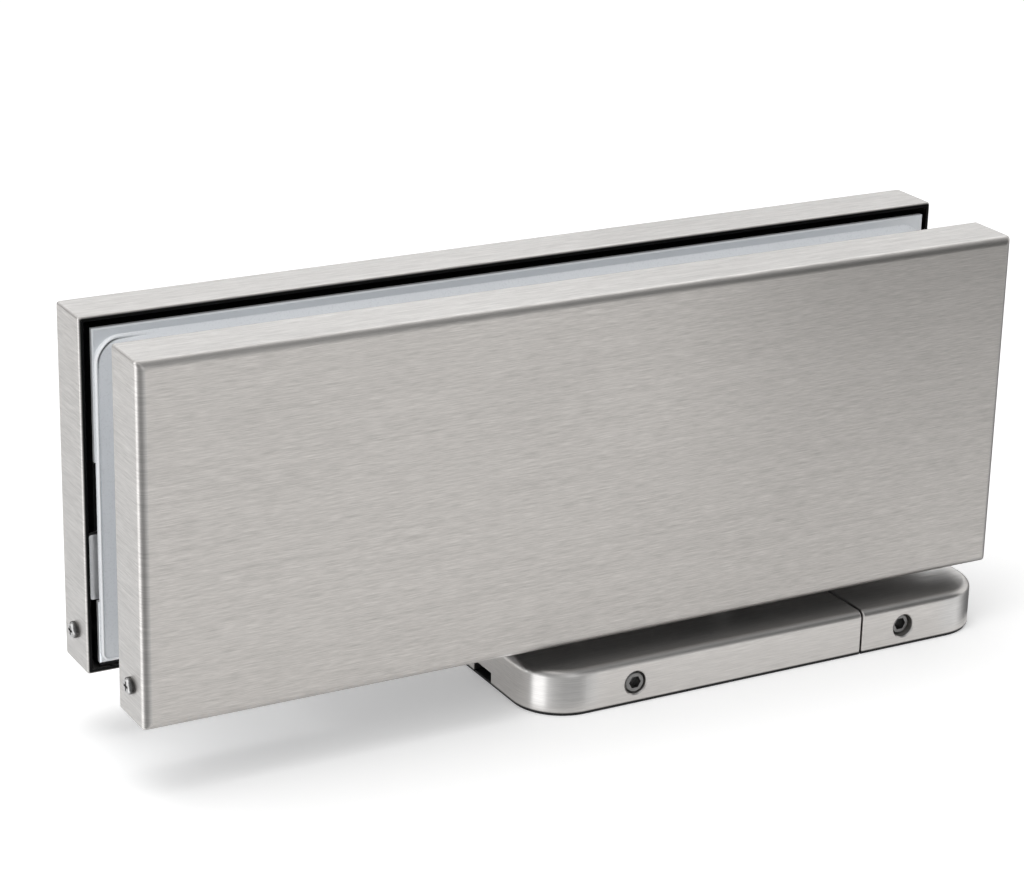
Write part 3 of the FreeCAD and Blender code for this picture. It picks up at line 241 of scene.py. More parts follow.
FINE_STROKES = (230, 230, 6000)
FINE_SHARE = 0.66
LONG_THREADS = (20, 20, 5200)
THREAD_SHARE = 0.16
BROAD_BANDS = (40, 40, 900)
BAND_SHARE = 0.12
SOFT_CLOUDS = (22, 22, 30)
CLOUD_SHARE = 0.06
STROKE_LOW = 0.32
STROKE_HIGH = 0.68
STROKE_GLOSS = 0.05

# Worn edges, lighter and glossier; the lightening also stands in as a painted highlight
WEAR_WIDTH = 0.5 * MILLIMETRE
WEAR_HIGHLIGHT_SHARE = 0.6
WEAR_HIGHLIGHT_BRIGHT = 1.18
WEAR_GLOSS = 0.10


def rim_shade_mask(finish, rim):
    """1 on the flat cut edge at a given distance from the middle of the glass, 0 elsewhere: where painted
    shade darkens it.
    """
    distance = finish.math("ABSOLUTE", place_parts(finish)["Y"])
    near = finish.ranged(distance, rim + RIM_FADE, rim + RIM_FULL)
    facing = finish.ranged(finish.math("ABSOLUTE", facing_parts(finish)["Y"]), RIM_TURNED, RIM_FACING)
    return finish.math("MULTIPLY", near, facing)


def brushed_steel(name, colour, rough, stretch, contrast, rim=None, foot=None):
    """Stainless steel with level strokes, highlights drawn out across them, worn edges lightened also as a
    painted highlight, and painted shade on the underside.

    A rim is a cut edge that is darkened as painted shade. A foot is the height of the floor line, with a
    painted contact shadow just above it, and steel that has a foot is duller on top.
    """
    finish = Finish(name, colour, metal=1.0, rough=rough)
    finish.shader.inputs["Anisotropic"].default_value = stretch
    finish.link(by_level(finish, (0, 0, 1), (0, 1, 0)), finish.shader.inputs["Tangent"])
    grain = grain_place(finish)
    fine = finish.noise(grain, FINE_STROKES, detail=3.0, rough=0.65)
    threads = finish.noise(grain, LONG_THREADS, detail=2.0, rough=0.5)
    bands = finish.noise(grain, BROAD_BANDS, detail=2.0, rough=0.5)
    clouds = finish.noise(finish.place(), SOFT_CLOUDS, detail=2.0, rough=0.5)
    mixed = finish.mixture(
        (fine, FINE_SHARE), (threads, THREAD_SHARE), (bands, BAND_SHARE), (clouds, CLOUD_SHARE),
    )
    strokes = finish.ranged(mixed, STROKE_LOW, STROKE_HIGH)
    wear_and_highlight = finish.edge_mask(WEAR_WIDTH)
    shade = finish.shades(strokes, dark=1.0 - contrast, light=1.0 + contrast)
    # Worn edges lightened, partly as a painted highlight
    shade = finish.blend(finish.math("MULTIPLY", wear_and_highlight, WEAR_HIGHLIGHT_SHARE), shade, finish.times(WEAR_HIGHLIGHT_BRIGHT))
    dullness = finish.ranged(strokes, 0.0, 1.0, rough + STROKE_GLOSS, rough - STROKE_GLOSS)
    dullness = finish.math("SUBTRACT", dullness, finish.math("MULTIPLY", wear_and_highlight, WEAR_GLOSS))
    upwards = facing_parts(finish)["Z"]
    # Painted shade on faces that look down
    underside_shade = finish.ranged(upwards, UNDERSIDE_START, UNDERSIDE_FULL)
    shade = finish.blend(underside_shade, shade, finish.times(UNDERSIDE_SHADE))
    if rim is not None:
        # Painted shade: the cut edge is darkened to near black
        shade = finish.blend(rim_shade_mask(finish, rim), shade, SHADE_BLACK)
    if foot is not None:
        # Painted contact shadow: darkened just above the floor line
        contact_shadow = finish.ranged(place_parts(finish)["Z"], foot + CONTACT_SHADOW_END, foot + CONTACT_SHADOW_START)
        shade = finish.blend(contact_shadow, shade, SHADE_BLACK)
        duller_top = finish.ranged(upwards, TOP_START, TOP_FULL, 0.0, TOP_DULLNESS)
        dullness = finish.math("ADD", dullness, duller_top)
    finish.bump(fine, strength=0.10, distance=0.03 * MILLIMETRE)
    return finish.use(shade, dullness)


# Other finishes

# Painted shade in a dark ring at the screw heads' edge
RING_START = 0.88
RING_FULL = 0.98
RING_SHADE_SHARE = 0.85


def cast_black():
    """Black coated casting: pebbled skin, dull, with grey rubbed edges."""
    finish = Finish("black_casting", (0.006, 0.006, 0.0065), metal=0.0, rough=0.62)
    finish.shader.inputs["Specular IOR Level"].default_value = 0.25
    pebbles = finish.noise(finish.place(), (900, 900, 900), detail=3.0, rough=0.6)
    clouds = finish.noise(finish.place(), (60, 60, 60), detail=2.0, rough=0.5)
    rubbed = finish.math("MULTIPLY", finish.edge_mask(0.6 * MILLIMETRE), 0.25)
    shade = finish.blend(rubbed, finish.shades(clouds, dark=0.7, light=1.5), (0.04, 0.04, 0.042))
    finish.bump(pebbles, strength=0.35, distance=0.10 * MILLIMETRE)
    return finish.use(shade, finish.ranged(pebbles, 0.3, 0.7, start=0.54, end=0.72))


def bright_plate():
    """Bright zinc plate: pale, half dull, with faint rolling lines, cold grey clouds and rubbed edges
    lightened also as a painted highlight.
    """
    finish = Finish("bright_plate", (0.74, 0.76, 0.78), metal=0.55, rough=0.34)
    lines = finish.noise(finish.place(), (10, 300, 900), detail=3.0, rough=0.5)
    clouds = finish.noise(finish.place(), (35, 35, 35), detail=3.0, rough=0.5)
    # Rubbed edges lightened, partly as a painted highlight
    rubbed = finish.math("MULTIPLY", finish.edge_mask(0.3 * MILLIMETRE), 0.7)
    shade = finish.blend(rubbed, finish.shades(clouds, dark=0.93, light=1.07), (0.85, 0.86, 0.87))
    finish.bump(lines, strength=0.05, distance=0.02 * MILLIMETRE)
    return finish.use(shade, finish.ranged(lines, 0.35, 0.65, start=0.30, end=0.40))


def grey_gasket():
    """Smooth pale grey pad: soft gloss, fine pores, a painted highlight along the bead's lip and painted
    shade in the dark corner groove.
    """
    finish = Finish("grey_gasket", (0.74, 0.76, 0.785), metal=0.0, rough=0.30)
    pores = finish.noise(finish.place(), (2200, 2200, 2200), detail=2.0, rough=0.6)
    clouds = finish.noise(finish.place(), (40, 40, 40), detail=3.0, rough=0.5)
    shade = finish.shades(clouds, dark=0.94, light=1.06)
    # Painted highlight along the bead's lip
    shade = finish.blend(finish.attribute("lip_highlight"), shade, (0.95, 0.96, 0.97))
    # Painted shade: the corner groove is darkened to near black
    shade = finish.blend(finish.attribute("groove"), shade, (0.01, 0.01, 0.01))
    finish.bump(pores, strength=0.10, distance=0.03 * MILLIMETRE)
    return finish.use(shade, finish.ranged(pores, 0.3, 0.7, start=0.24, end=0.36))


def plain_metal(name, colour, rough, scale, contrast, height):
    """Machined or plated metal: tool-mark noise in shade and gloss, brighter edges."""
    finish = Finish(name, colour, metal=1.0, rough=rough)
    marks = finish.noise(finish.place(), scale, detail=4.0, rough=0.6)
    rubbed = finish.math("MULTIPLY", finish.edge_mask(0.3 * MILLIMETRE), 0.5)
    shade = finish.shades(finish.ranged(marks, 0.3, 0.7), dark=1.0 - contrast, light=1.0 + contrast)
    shade = finish.blend(rubbed, shade, finish.times(1.25))
    finish.bump(marks, strength=0.2, distance=height)
    return finish.use(shade, finish.ranged(marks, 0.3, 0.7, start=rough - 0.06, end=rough + 0.08))


def screw_heads(name, colour, rough, node):
    """Plated pan heads: bright in the middle, with painted shade as a dark line round the edge where they
    meet the cover.
    """
    low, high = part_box(node)
    radius = (high[2] - low[2]) / 2
    finish = Finish(name, colour, metal=1.0, rough=rough)
    parts = place_parts(finish)
    aside = finish.math("SUBTRACT", finish.math("ABSOLUTE", parts["Y"]), high[1] - radius)
    above = finish.math("SUBTRACT", parts["Z"], low[2] + radius)
    squares = finish.mixture((aside, aside), (above, above))
    from_axis = finish.math("SQRT", squares)
    edge_shade = finish.ranged(from_axis, RING_START * radius, RING_FULL * radius, 0.0, RING_SHADE_SHARE)
    marks = finish.noise(finish.place(), (800, 800, 800), detail=4.0, rough=0.6)
    # Painted shade: the head's edge is darkened
    shade = finish.blend(edge_shade, finish.shades(marks, dark=0.85, light=1.15), (0.06, 0.06, 0.06))
    finish.bump(marks, strength=0.2, distance=0.01 * MILLIMETRE)
    return finish.use(shade, finish.ranged(marks, 0.3, 0.7, start=rough - 0.06, end=rough + 0.08))


def plain_soft(name, colour, rough, scale):
    """Rubber or plastic: dull, with fine grain in shade, gloss and height."""
    finish = Finish(name, colour, metal=0.0, rough=rough)
    grain = finish.noise(finish.place(), (scale, scale, scale), detail=3.0, rough=0.6)
    shade = finish.shades(grain, dark=0.85, light=1.15)
    finish.bump(grain, strength=0.2, distance=0.04 * MILLIMETRE)
    return finish.use(shade, finish.ranged(grain, 0.3, 0.7, start=rough - 0.06, end=rough + 0.08))


# The nodes that have each finish

SMOOTH = 0.01 * MILLIMETRE
TURNED = 0.02 * MILLIMETRE
SANDED = 0.03 * MILLIMETRE

FINISHES = [
    (brushed_steel("satin_stainless", (0.486, 0.465, 0.444), 0.36,
                   stretch=0.75, contrast=0.23, rim=COVER_RIM),
     ["front_cover", "rear_cover"]),
    (brushed_steel("shoe_stainless", (0.572, 0.552, 0.532), 0.33,
                   stretch=0.55, contrast=0.13, foot=SHOE_FOOT),
     ["shoe_main", "shoe_end"]),
    (brushed_steel("catch_steel", (0.86, 0.85, 0.84), 0.36,
                   stretch=0.5, contrast=0.05),
     ["cover_catches"]),
    (cast_black(),
     ["front_clamp", "rear_clamp"]),
    (bright_plate(),
     ["front_pressure_plate", "rear_pressure_plate"]),
    (screw_heads("screw_steel", (0.42, 0.41, 0.40), 0.24, "cover_screws"),
     ["cover_screws"]),
    (plain_metal("set_screw_steel", (0.20, 0.198, 0.195), 0.32,
                 scale=(900, 900, 900), contrast=0.12, height=SMOOTH),
     ["shoe_set_screws"]),
    (plain_metal("dark_screw_steel", (0.07, 0.07, 0.072), 0.36,
                 scale=(900, 900, 900), contrast=0.15, height=SMOOTH),
     ["clamp_screws"]),
    (plain_metal("blackened_steel", (0.030, 0.030, 0.032), 0.46,
                 scale=(300, 300, 300), contrast=0.15, height=TURNED),
     ["base_plate"]),
    (plain_metal("body_aluminium", (0.42, 0.42, 0.43), 0.42,
                 scale=(260, 260, 700), contrast=0.08, height=SANDED),
     ["hydraulic_body"]),
    (plain_metal("cap_steel", (0.40, 0.40, 0.40), 0.36,
                 scale=(500, 500, 500), contrast=0.08, height=TURNED),
     ["left_end_cap", "right_end_cap"]),
    (plain_metal("ground_steel", (0.56, 0.56, 0.56), 0.22,
                 scale=(400, 400, 1500), contrast=0.06, height=SMOOTH),
     ["spindle", "piston", "check_ball", "check_plug"]),
    (plain_metal("spring_steel", (0.30, 0.30, 0.31), 0.36,
                 scale=(700, 700, 700), contrast=0.12, height=TURNED),
     ["left_spring", "right_spring"]),
    (plain_metal("bronze", (0.60, 0.40, 0.20), 0.34,
                 scale=(600, 600, 600), contrast=0.10, height=TURNED),
     ["lower_bush", "upper_bush", "thrust_washer"]),
    (plain_metal("valve_brass", (0.72, 0.56, 0.28), 0.28,
                 scale=(600, 600, 600), contrast=0.08, height=SMOOTH),
     ["sweep_valve", "latch_valve"]),
    (plain_soft("black_rubber", (0.006, 0.006, 0.0065), 0.65, scale=1500),
     ["spindle_seal", "cap_seals", "sweep_valve_ring", "latch_valve_ring", "shoe_pads"]),
    (plain_soft("white_plastic", (0.80, 0.79, 0.76), 0.40, scale=1200),
     ["piston_rings"]),
]
for material, names in FINISHES:
    for name in names:
        mesh = nodes[name].data
        mesh.materials.clear()
        mesh.materials.append(material)


# Ways to put a new mesh in the scene

def put(name, data):
    """A new object at the origin, linked to the scene."""
    made = bpy.data.objects.new(name, data)
    bpy.context.scene.collection.objects.link(made)
    return made


def smooth(mesh, degrees):
    """Shade a mesh smooth, with edges sharper than an angle kept."""
    mesh.shade_smooth()
    mesh.set_sharp_from_angle(angle=math.radians(degrees))


def closed_faces(rows, columns):
    """Faces of a grid that is closed round its columns: its sides, and one face over each end row.

    A side joins a point, the next one in its row, and the two beyond these in the next row.
    """
    row, column = np.meshgrid(np.arange(rows - 1), np.arange(columns), indexing="ij")
    beside = (column + 1) % columns
    here, beyond = row * columns, (row + 1) * columns
    corners = [here + column, here + beside, beyond + beside, beyond + column]
    sides = np.stack(corners, axis=-1).reshape(-1, 4)
    first = np.arange(columns)[::-1]
    last = np.arange(columns) + (rows - 1) * columns
    return sides, first, last


# Gaskets with a rolled bead along the outer edge

UPPER_CORNER = 5.4 * MILLIMETRE
LOWER_CORNER = 1.9 * MILLIMETRE
INNER_CORNER = 1.0 * MILLIMETRE
TONGUE_ROOM = 1.0 * MILLIMETRE
END_ROOM = 2.5 * MILLIMETRE
BEAD_WIDTH = 0.60 * MILLIMETRE
BEAD_RISE = 0.25 * MILLIMETRE
BEAD_FADE = 4.0 * MILLIMETRE
GROOVE_PLACE = 0.80 * MILLIMETRE
GROOVE_WIDTH = 0.13 * MILLIMETRE
GROOVE_DEPTH = 0.60 * MILLIMETRE
GROOVE_REACH = 5.0 * MILLIMETRE
SECTION_WIDTH = 1.5 * MILLIMETRE
THIN_EDGE = 0.05 * MILLIMETRE
SECTION_STEPS = 26
RUN_STEPS = 60
ARC_STEPS = 24
PAD_SHARP = 60


def run(start, end, steps):
    """Points on a straight line: start plus the share of the way times the difference, end left out."""
    share = np.linspace(0.0, 1.0, steps, endpoint=False)[:, None]
    return np.asarray(start) * (1 - share) + np.asarray(end) * share


def arc(centre, first, second, steps):
    """Points on a quarter circle: centre plus first times cosine plus second times sine, end left out."""
    turn = np.linspace(0.0, np.pi / 2, steps, endpoint=False)[:, None]
    return np.asarray(centre) + np.asarray(first) * np.cos(turn) + np.asarray(second) * np.sin(turn)


def section_shares(distance, along):
    """How much bead, groove and feathering there is at each place along the edge and distance inwards.

    The bead is half a sine wave across the edge, and along the top it falls off exponentially. The
    feathering is a straight slope that takes its place there. The groove is a bell curve across the edge,
    and another bell curve along it keeps it to the corner.
    """
    bead = np.sin(np.pi * np.clip(distance / BEAD_WIDTH, 0.0, 1.0))
    groove = np.exp(-((distance - GROOVE_PLACE) / GROOVE_WIDTH) ** 2)
    slope = 1.0 - distance / SECTION_WIDTH
    bead_fade = np.exp(-np.clip(along, 0.0, None) / BEAD_FADE)[:, None]
    groove_fade = np.exp(-(along / GROOVE_REACH) ** 2)[:, None]
    return bead_fade * bead, groove_fade * groove, (1.0 - bead_fade) * slope


def outline_spans(left, right, low, top, inner_x, inner_z):
    """The pad's outer edge, the inner edge beside it and the way inwards, as runs and arcs in X and Z.

    The outer edge starts on the bottom, turns up the left side, along the top and down the short right end.
    The inner edge follows the notch round the closer, a share of it beside each run.
    """
    big, small, inner = UPPER_CORNER, LOWER_CORNER, INNER_CORNER
    x, z = np.eye(2)
    near = right - END_ROOM
    return [
        (run((inner_x - END_ROOM, low), (left + small, low), RUN_STEPS),
         run((inner_x, low), (inner_x, low + small), RUN_STEPS),
         run(z, z, RUN_STEPS)),
        (arc((left + small, low + small), -small * z, -small * x, ARC_STEPS),
         run((inner_x, low + small), (inner_x, low + 2 * small), ARC_STEPS),
         arc((0, 0), z, x, ARC_STEPS)),
        (run((left, low + small), (left, top - big), RUN_STEPS),
         run((inner_x, low + 2 * small), (inner_x, inner_z - inner), RUN_STEPS),
         run(x, x, RUN_STEPS)),
        (arc((left + big, top - big), -big * x, big * z, ARC_STEPS),
         arc((inner_x + inner, inner_z - inner), -inner * x, inner * z, ARC_STEPS),
         arc((0, 0), x, -z, ARC_STEPS)),
        (run((left + big, top), (right - big, top), RUN_STEPS),
         run((inner_x + inner, inner_z), (near - big, inner_z), RUN_STEPS),
         run(-z, -z, RUN_STEPS)),
        (arc((right - big, top - big), big * z, big * x, ARC_STEPS),
         run((near - big, inner_z), (near - big / 2, inner_z), ARC_STEPS),
         arc((0, 0), -z, -x, ARC_STEPS)),
        (run((right, top - big), (right, inner_z), RUN_STEPS),
         run((near - big / 2, inner_z), (near, inner_z), RUN_STEPS),
         run(-x, -x, RUN_STEPS)),
        (np.array([(right, inner_z)]), np.array([(near, inner_z)]), np.array([-x])),
    ]


def strip_mesh(name, path, inner, inwards, along, plate, glass, sheet):
    """Closed strip: each path point plus the way inwards times the distance, at plate plus the height there.

    The first column stands on the plate under the outer edge, and the last two on the inner edge, at the
    face's height and on the plate. The first and last rows are closed by one face each.
    """
    distance = np.linspace(0.0, SECTION_WIDTH, SECTION_STEPS)
    bead, groove, feather = section_shares(distance, along)
    face = sheet - BEAD_RISE
    rise = face * (1.0 - feather) + BEAD_RISE * bead - GROOVE_DEPTH * groove
    across = path[:, None] + inwards[:, None] * distance[None, :, None]
    flat = np.concatenate([path[:, None], across, inner[:, None], inner[:, None]], axis=1)
    rows, columns = flat.shape[:2]
    none = np.zeros((rows, 1))
    height = np.concatenate([none, np.maximum(rise, THIN_EDGE), none + face, none], axis=1)
    points = np.stack([flat[..., 0], plate + glass * height, flat[..., 1]], axis=-1).reshape(-1, 3)
    sides, first, last = closed_faces(rows, columns)
    if glass > 0:
        sides, first, last = sides[:, ::-1], first[::-1], last[::-1]
    mesh = bpy.data.meshes.new(name)
    mesh.from_pydata(points.tolist(), [], sides.tolist() + [first.tolist(), last.tolist()])
    # The lip share carries a painted highlight and the groove share painted shade into the pad's colour
    for label, share in (("lip_highlight", bead), ("groove", groove)):
        padded = np.concatenate([none, share, none, none], axis=1)
        mesh.attributes.new(label, "FLOAT", "POINT").data.foreach_set("value", padded.ravel())
    return mesh


def beaded_gasket(node, side, material):
    """The pad on one side of the glass, fitted to its solid, the plate behind it and the closer's tongue."""
    low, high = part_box(node)
    tongue_low, tongue_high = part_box("hydraulic_body")
    inner_x = tongue_low[0] - TONGUE_ROOM
    inner_z = tongue_high[2] + TONGUE_ROOM
    spans = outline_spans(low[0], high[0], low[2], high[2], inner_x, inner_z)
    path, inner, inwards = (np.concatenate([span[part] for span in spans]) for part in range(3))
    travelled = np.concatenate([[0.0], np.cumsum(np.linalg.norm(np.diff(path, axis=0), axis=1))])
    corner_middle = 2 * RUN_STEPS + ARC_STEPS + ARC_STEPS // 2
    along = travelled - travelled[corner_middle]
    plate = high[1] if side > 0 else low[1]
    mesh = strip_mesh(node + "_bead", path, inner, inwards, along, plate, -side, high[1] - low[1])
    mesh.materials.append(material)
    smooth(mesh, PAD_SHARP)
    made = put(node + "_bead", mesh)
    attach(made, "patch")
    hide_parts(node)


gasket_finish = grey_gasket()
beaded_gasket("front_gasket", -1, gasket_finish)
beaded_gasket("rear_gasket", 1, gasket_finish)


# Springs, drawn as fixed coils in place of their solids

SPRING_WIRE = 1.8 * MILLIMETRE
LEFT_TURNS = 9
RIGHT_TURNS = 3
TURN_STEPS = 40
WIRE_STEPS = 16
WIRE_SHARP = 50


def coil_mesh(name, low, high, turns):
    """Round wire on a helix along X, ground flat at both ends.

    A point is the helix at a turn, plus the wire's radius times the cosine of the angle round the wire
    outwards and its sine along X. The ground ends come from holding X between the two ends.
    """
    rows = turns * TURN_STEPS + 1
    share = np.linspace(0.0, 1.0, rows)[:, None]
    turn = 2 * np.pi * turns * share
    around = np.linspace(0.0, 2 * np.pi, WIRE_STEPS, endpoint=False)[None, :]
    radius = (high[2] - low[2]) / 2 - SPRING_WIRE + SPRING_WIRE * np.cos(around)
    x = low[0] * (1 - share) + high[0] * share + SPRING_WIRE * np.sin(around)
    y = (low[1] + high[1]) / 2 + radius * np.sin(turn)
    z = (low[2] + high[2]) / 2 - radius * np.cos(turn)
    points = np.stack([np.clip(x, low[0], high[0]), y, z], axis=-1).reshape(-1, 3)
    sides, first, last = closed_faces(rows, WIRE_STEPS)
    turned = sides[:, [0, 3, 2, 1]]
    mesh = bpy.data.meshes.new(name)
    mesh.from_pydata(points.tolist(), [], turned.tolist() + [first[::-1].tolist(), last[::-1].tolist()])
    return mesh


def coil_spring(node, turns):
    """A spring drawn as a coil in place of its solid, which is hidden. In the closer it is held by the patch
    at one end and moved by the piston at the other.
    """
    low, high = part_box(node)
    mesh = coil_mesh(node + "_coil", low, high, turns)
    mesh.materials.append(nodes[node].data.materials[0])
    smooth(mesh, WIRE_SHARP)
    made = put(node + "_coil", mesh)
    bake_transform(made)
    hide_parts(node)


coil_spring("left_spring", LEFT_TURNS)
coil_spring("right_spring", RIGHT_TURNS)


# Floor and backdrop

FLOOR_HALF = 6.0
FLOOR_LIFT = 0.30
DIFFUSE_SKY = 0.57


def seen_rays(tree):
    """1 for rays from the camera, from mirrors and through glass, 0 for the rest."""
    rays = tree.nodes.new("ShaderNodeLightPath")
    seen = rays.outputs["Is Camera Ray"]
    for kind in ("Is Glossy Ray", "Is Transmission Ray"):
        larger = tree.nodes.new("ShaderNodeMath")
        larger.operation = "MAXIMUM"
        tree.links.new(seen, larger.inputs[0])
        tree.links.new(rays.outputs[kind], larger.inputs[1])
        seen = larger.outputs[0]
    return seen


def pale_floor():
    """Pale floor that shows its shadow, lifted towards white for camera, mirror and see-through rays."""
    finish = Finish("pale_floor", (0.86, 0.86, 0.86), metal=0.0, rough=0.6)
    finish.shader.inputs["Specular IOR Level"].default_value = 0.0
    glow = finish.node("ShaderNodeEmission")
    glow.inputs["Strength"].default_value = FLOOR_LIFT
    finish.link(seen_rays(finish.tree), glow.inputs["Color"])
    both = finish.node("ShaderNodeAddShader")
    output = next(n for n in finish.tree.nodes if n.type == "OUTPUT_MATERIAL")
    finish.link(finish.shader.outputs[0], both.inputs[0])
    finish.link(glow.outputs[0], both.inputs[1])
    finish.link(both.outputs[0], output.inputs["Surface"])
    return finish.material


def pale_world():
    """White for camera, mirror and see-through rays, and dimmer for the light that it gives."""
    world = bpy.data.worlds.new("pale_studio")
    world.use_nodes = True
    tree = world.node_tree
    backdrop = next(n for n in tree.nodes if n.type == "BACKGROUND")
    backdrop.inputs["Color"].default_value = (1.0, 1.0, 1.0, 1)
    level = tree.nodes.new("ShaderNodeMapRange")
    level.inputs["To Min"].default_value = DIFFUSE_SKY
    level.inputs["To Max"].default_value = 1.0
    tree.links.new(seen_rays(tree), level.inputs["Value"])
    tree.links.new(level.outputs["Result"], backdrop.inputs["Strength"])
    return world


floor_mesh = bpy.data.meshes.new("floor")
floor_mesh.from_pydata(
    [(-FLOOR_HALF, -FLOOR_HALF, 0), (FLOOR_HALF, -FLOOR_HALF, 0),
     (FLOOR_HALF, FLOOR_HALF, 0), (-FLOOR_HALF, FLOOR_HALF, 0)],
    [], [(0, 1, 2, 3)],
)
floor_mesh.materials.append(pale_floor())
put("floor", floor_mesh)

bpy.context.scene.world = pale_world()


# Cards that only reflections see

CARD_TINT = (0.96, 0.98, 1.0, 1)
FAN_STEPS = 120
LOW = 0.4 * MILLIMETRE
FAN_START = 0.004
FAN_REACH = 0.90
SHOE_FAN = 0.017
SHOE_FAN_TOP = 0.009
CEILING = 1.3

# Corners that the graded cards stand round, in X and Y
COVER_LEFT = (-0.142, -0.0214)
COVER_RIGHT = (0.056, -0.0210)
SHOE_LEFT = (-0.044, -0.0115)
SHOE_RIGHT = (0.044, -0.0115)

# Azimuth in degrees and strength, from stop to stop
COVER_LEFT_STOPS = [
    (-50, 1.0), (-46, 2.2), (-18, 2.2), (-5, 0.95), (6, 0.60), (14, 0.50), (26, 0.44),
    (37, 0.43), (49, 0.46), (59, 0.56), (71, 0.68), (82, 0.80), (93, 0.90), (105, 1.0),
]
COVER_RIGHT_STOPS = [
    (148, 1.0), (161, 0.85), (176, 0.45), (190, 0.15), (245, 0.10),
]
SHOE_LEFT_STOPS = [
    (20, 0.60), (22.5, 0.65), (28, 1.9), (39, 1.9), (45, 1.0),
    (52, 0.73), (63, 0.58), (84, 0.57), (97, 0.95), (100, 1.0),
]
SHOE_RIGHT_STOPS = [
    (100, 1.0), (112, 1.0), (118, 1.1), (124, 0.88), (131, 0.55), (140, 0.25), (160, 0.15), (190, 0.15),
]

# Name, ends along X, Y and Z of the first edge, Y and Z of the second edge, strength
WIDE_CARDS = [
    ("front_card", (0.14, 0.90), (-0.25, 0.0), (-0.40, 0.6), 0.12),
    ("mid_front_card", (-0.14, 1.4), (-0.95, 0.12), (-0.95, 0.55), 0.60),
    ("high_front_card", (-0.14, 1.4), (-0.95, 0.55), (-0.95, CEILING), 0.45),
    ("ceiling_card", (-0.20, 1.5), (-0.95, CEILING), (0.05, CEILING), 0.42),
    ("low_back_card", (-0.6, 1.3), (0.74, 0.0), (0.74, 0.22), 0.12),
    ("low_right_card", (0.38, 1.3), (0.73, 0.0), (0.73, 0.30), 0.05),
    ("back_card", (-0.4, 1.1), (0.75, 0.22), (0.75, 0.7), 1.45),
    ("high_back_card", (-0.4, 1.4), (0.75, 0.7), (0.50, 1.1), 2.5),
]
END_LOW_CORNERS = [(-0.144, -0.020, LOW), (-0.32, 0.28, LOW), (-0.20, 0.34, LOW), (-0.144, 0.06, LOW)]
END_LOW_STRENGTH = 1.12


def reflector(name, mesh):
    """Show a mesh to reflections only, as a photographer sets a card beside bright metal."""
    finish = Finish(name, (0, 0, 0), metal=0.0, rough=1.0)
    finish.shader.inputs["Specular IOR Level"].default_value = 0.0
    finish.shader.inputs["Emission Color"].default_value = CARD_TINT
    mesh.materials.append(finish.material)
    made = put(name, mesh)
    for ray in ("visible_camera", "visible_diffuse", "visible_shadow", "visible_transmission"):
        setattr(made, ray, False)
    return finish


def card(name, corners, strength):
    """A flat card of one strength: dark below 1, bright above."""
    mesh = bpy.data.meshes.new(name)
    mesh.from_pydata(corners, [], [tuple(range(len(corners)))])
    reflector(name, mesh).shader.inputs["Emission Strength"].default_value = strength


def fan_card(name, centre, near, far, stops):
    """A graded card round a corner, from one radius and height to another.

    Each point is the centre less the radius times the cosine and sine of the azimuth, which is measured
    from -X towards -Y. The strength goes in straight lines from stop to stop of the azimuth.
    """
    azimuth, strength = np.array(stops, dtype=float).T
    turn = np.linspace(azimuth[0], azimuth[-1], FAN_STEPS)
    around = np.stack([np.cos(np.radians(turn)), np.sin(np.radians(turn))], axis=1)
    rows = [np.column_stack([np.asarray(centre) - radius * around, np.full(FAN_STEPS, height)])
            for radius, height in (near, far)]
    column = np.arange(FAN_STEPS - 1)
    quads = np.stack([column, column + 1, column + 1 + FAN_STEPS, column + FAN_STEPS], axis=1)
    mesh = bpy.data.meshes.new(name)
    mesh.from_pydata(np.concatenate(rows).tolist(), [], quads.tolist())
    glow = np.tile(np.interp(turn, azimuth, strength), 2)
    mesh.attributes.new("glow", "FLOAT", "POINT").data.foreach_set("value", glow)
    finish = reflector(name, mesh)
    finish.link(finish.attribute("glow"), finish.shader.inputs["Emission Strength"])


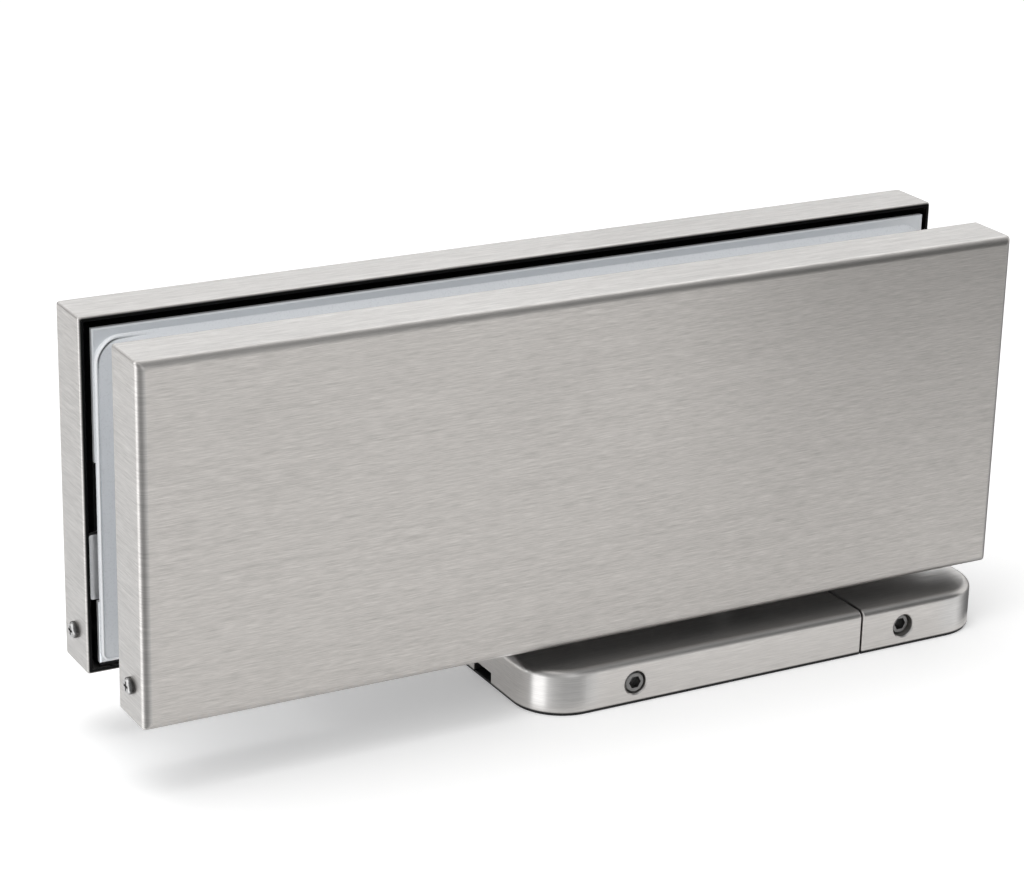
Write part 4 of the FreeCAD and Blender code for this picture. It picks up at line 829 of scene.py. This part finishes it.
fan_card("edge_low_fan", COVER_LEFT, (FAN_START, LOW), (FAN_REACH, LOW), COVER_LEFT_STOPS)
fan_card("edge_wall_fan", COVER_LEFT, (FAN_REACH, 0.0), (FAN_REACH, CEILING), COVER_LEFT_STOPS)
fan_card("right_low_fan", COVER_RIGHT, (FAN_START, LOW), (FAN_REACH, LOW), COVER_RIGHT_STOPS)
fan_card("shoe_left_fan", SHOE_LEFT, (SHOE_FAN, 0.0), (SHOE_FAN, SHOE_FAN_TOP), SHOE_LEFT_STOPS)
fan_card("shoe_right_fan", SHOE_RIGHT, (SHOE_FAN, 0.0), (SHOE_FAN, SHOE_FAN_TOP), SHOE_RIGHT_STOPS)
card("end_low_card", END_LOW_CORNERS, END_LOW_STRENGTH)
for name, (left, right), first_edge, second_edge, strength in WIDE_CARDS:
    corners = [(left, *first_edge), (right, *first_edge), (right, *second_edge), (left, *second_edge)]
    card(name, corners, strength)


# Lamps

def soft_light(name, place, aim, side, watts):
    """A large square lamp turned to a point, which mirrors don't show."""
    lamp = bpy.data.lights.new(name, "AREA")
    lamp.shape = "SQUARE"
    lamp.size = side
    lamp.energy = watts
    made = put(name, lamp)
    made.location = place
    made.rotation_mode = "QUATERNION"
    made.rotation_quaternion = (Vector(aim) - Vector(place)).to_track_quat("-Z", "Y")
    made.visible_glossy = False


soft_light("overhead_light", place=(-0.25, 0.15, 1.2), aim=(-0.04, 0.0, 0.04), side=1.1, watts=8.0)
soft_light("left_light", place=(-1.0, -0.35, 0.55), aim=(-0.06, 0.0, 0.04), side=0.7, watts=3.0)


# Camera, with its lens and sensor in millimetres

CAMERA_PLACE = Vector((-0.3370, -0.5127, 0.2684))
CAMERA_BACK = Vector((-0.4570, -0.8199, 0.3447))
CAMERA_ROLL = math.radians(1.39)
CAMERA_LENS = 106.4
CAMERA_SENSOR = 36.0
CAMERA_NEAREST = 0.05

camera_data = bpy.data.cameras.new("photo_camera")
camera_data.lens = CAMERA_LENS
camera_data.sensor_width = CAMERA_SENSOR
camera_data.clip_start = CAMERA_NEAREST
camera = put("photo_camera", camera_data)
camera.location = CAMERA_PLACE
camera.rotation_mode = "QUATERNION"
camera.rotation_quaternion = (-CAMERA_BACK).to_track_quat("-Z", "Y") @ Quaternion((0, 0, 1), CAMERA_ROLL)
bpy.context.scene.camera = camera

bpy.context.scene.view_settings.view_transform = "Standard"
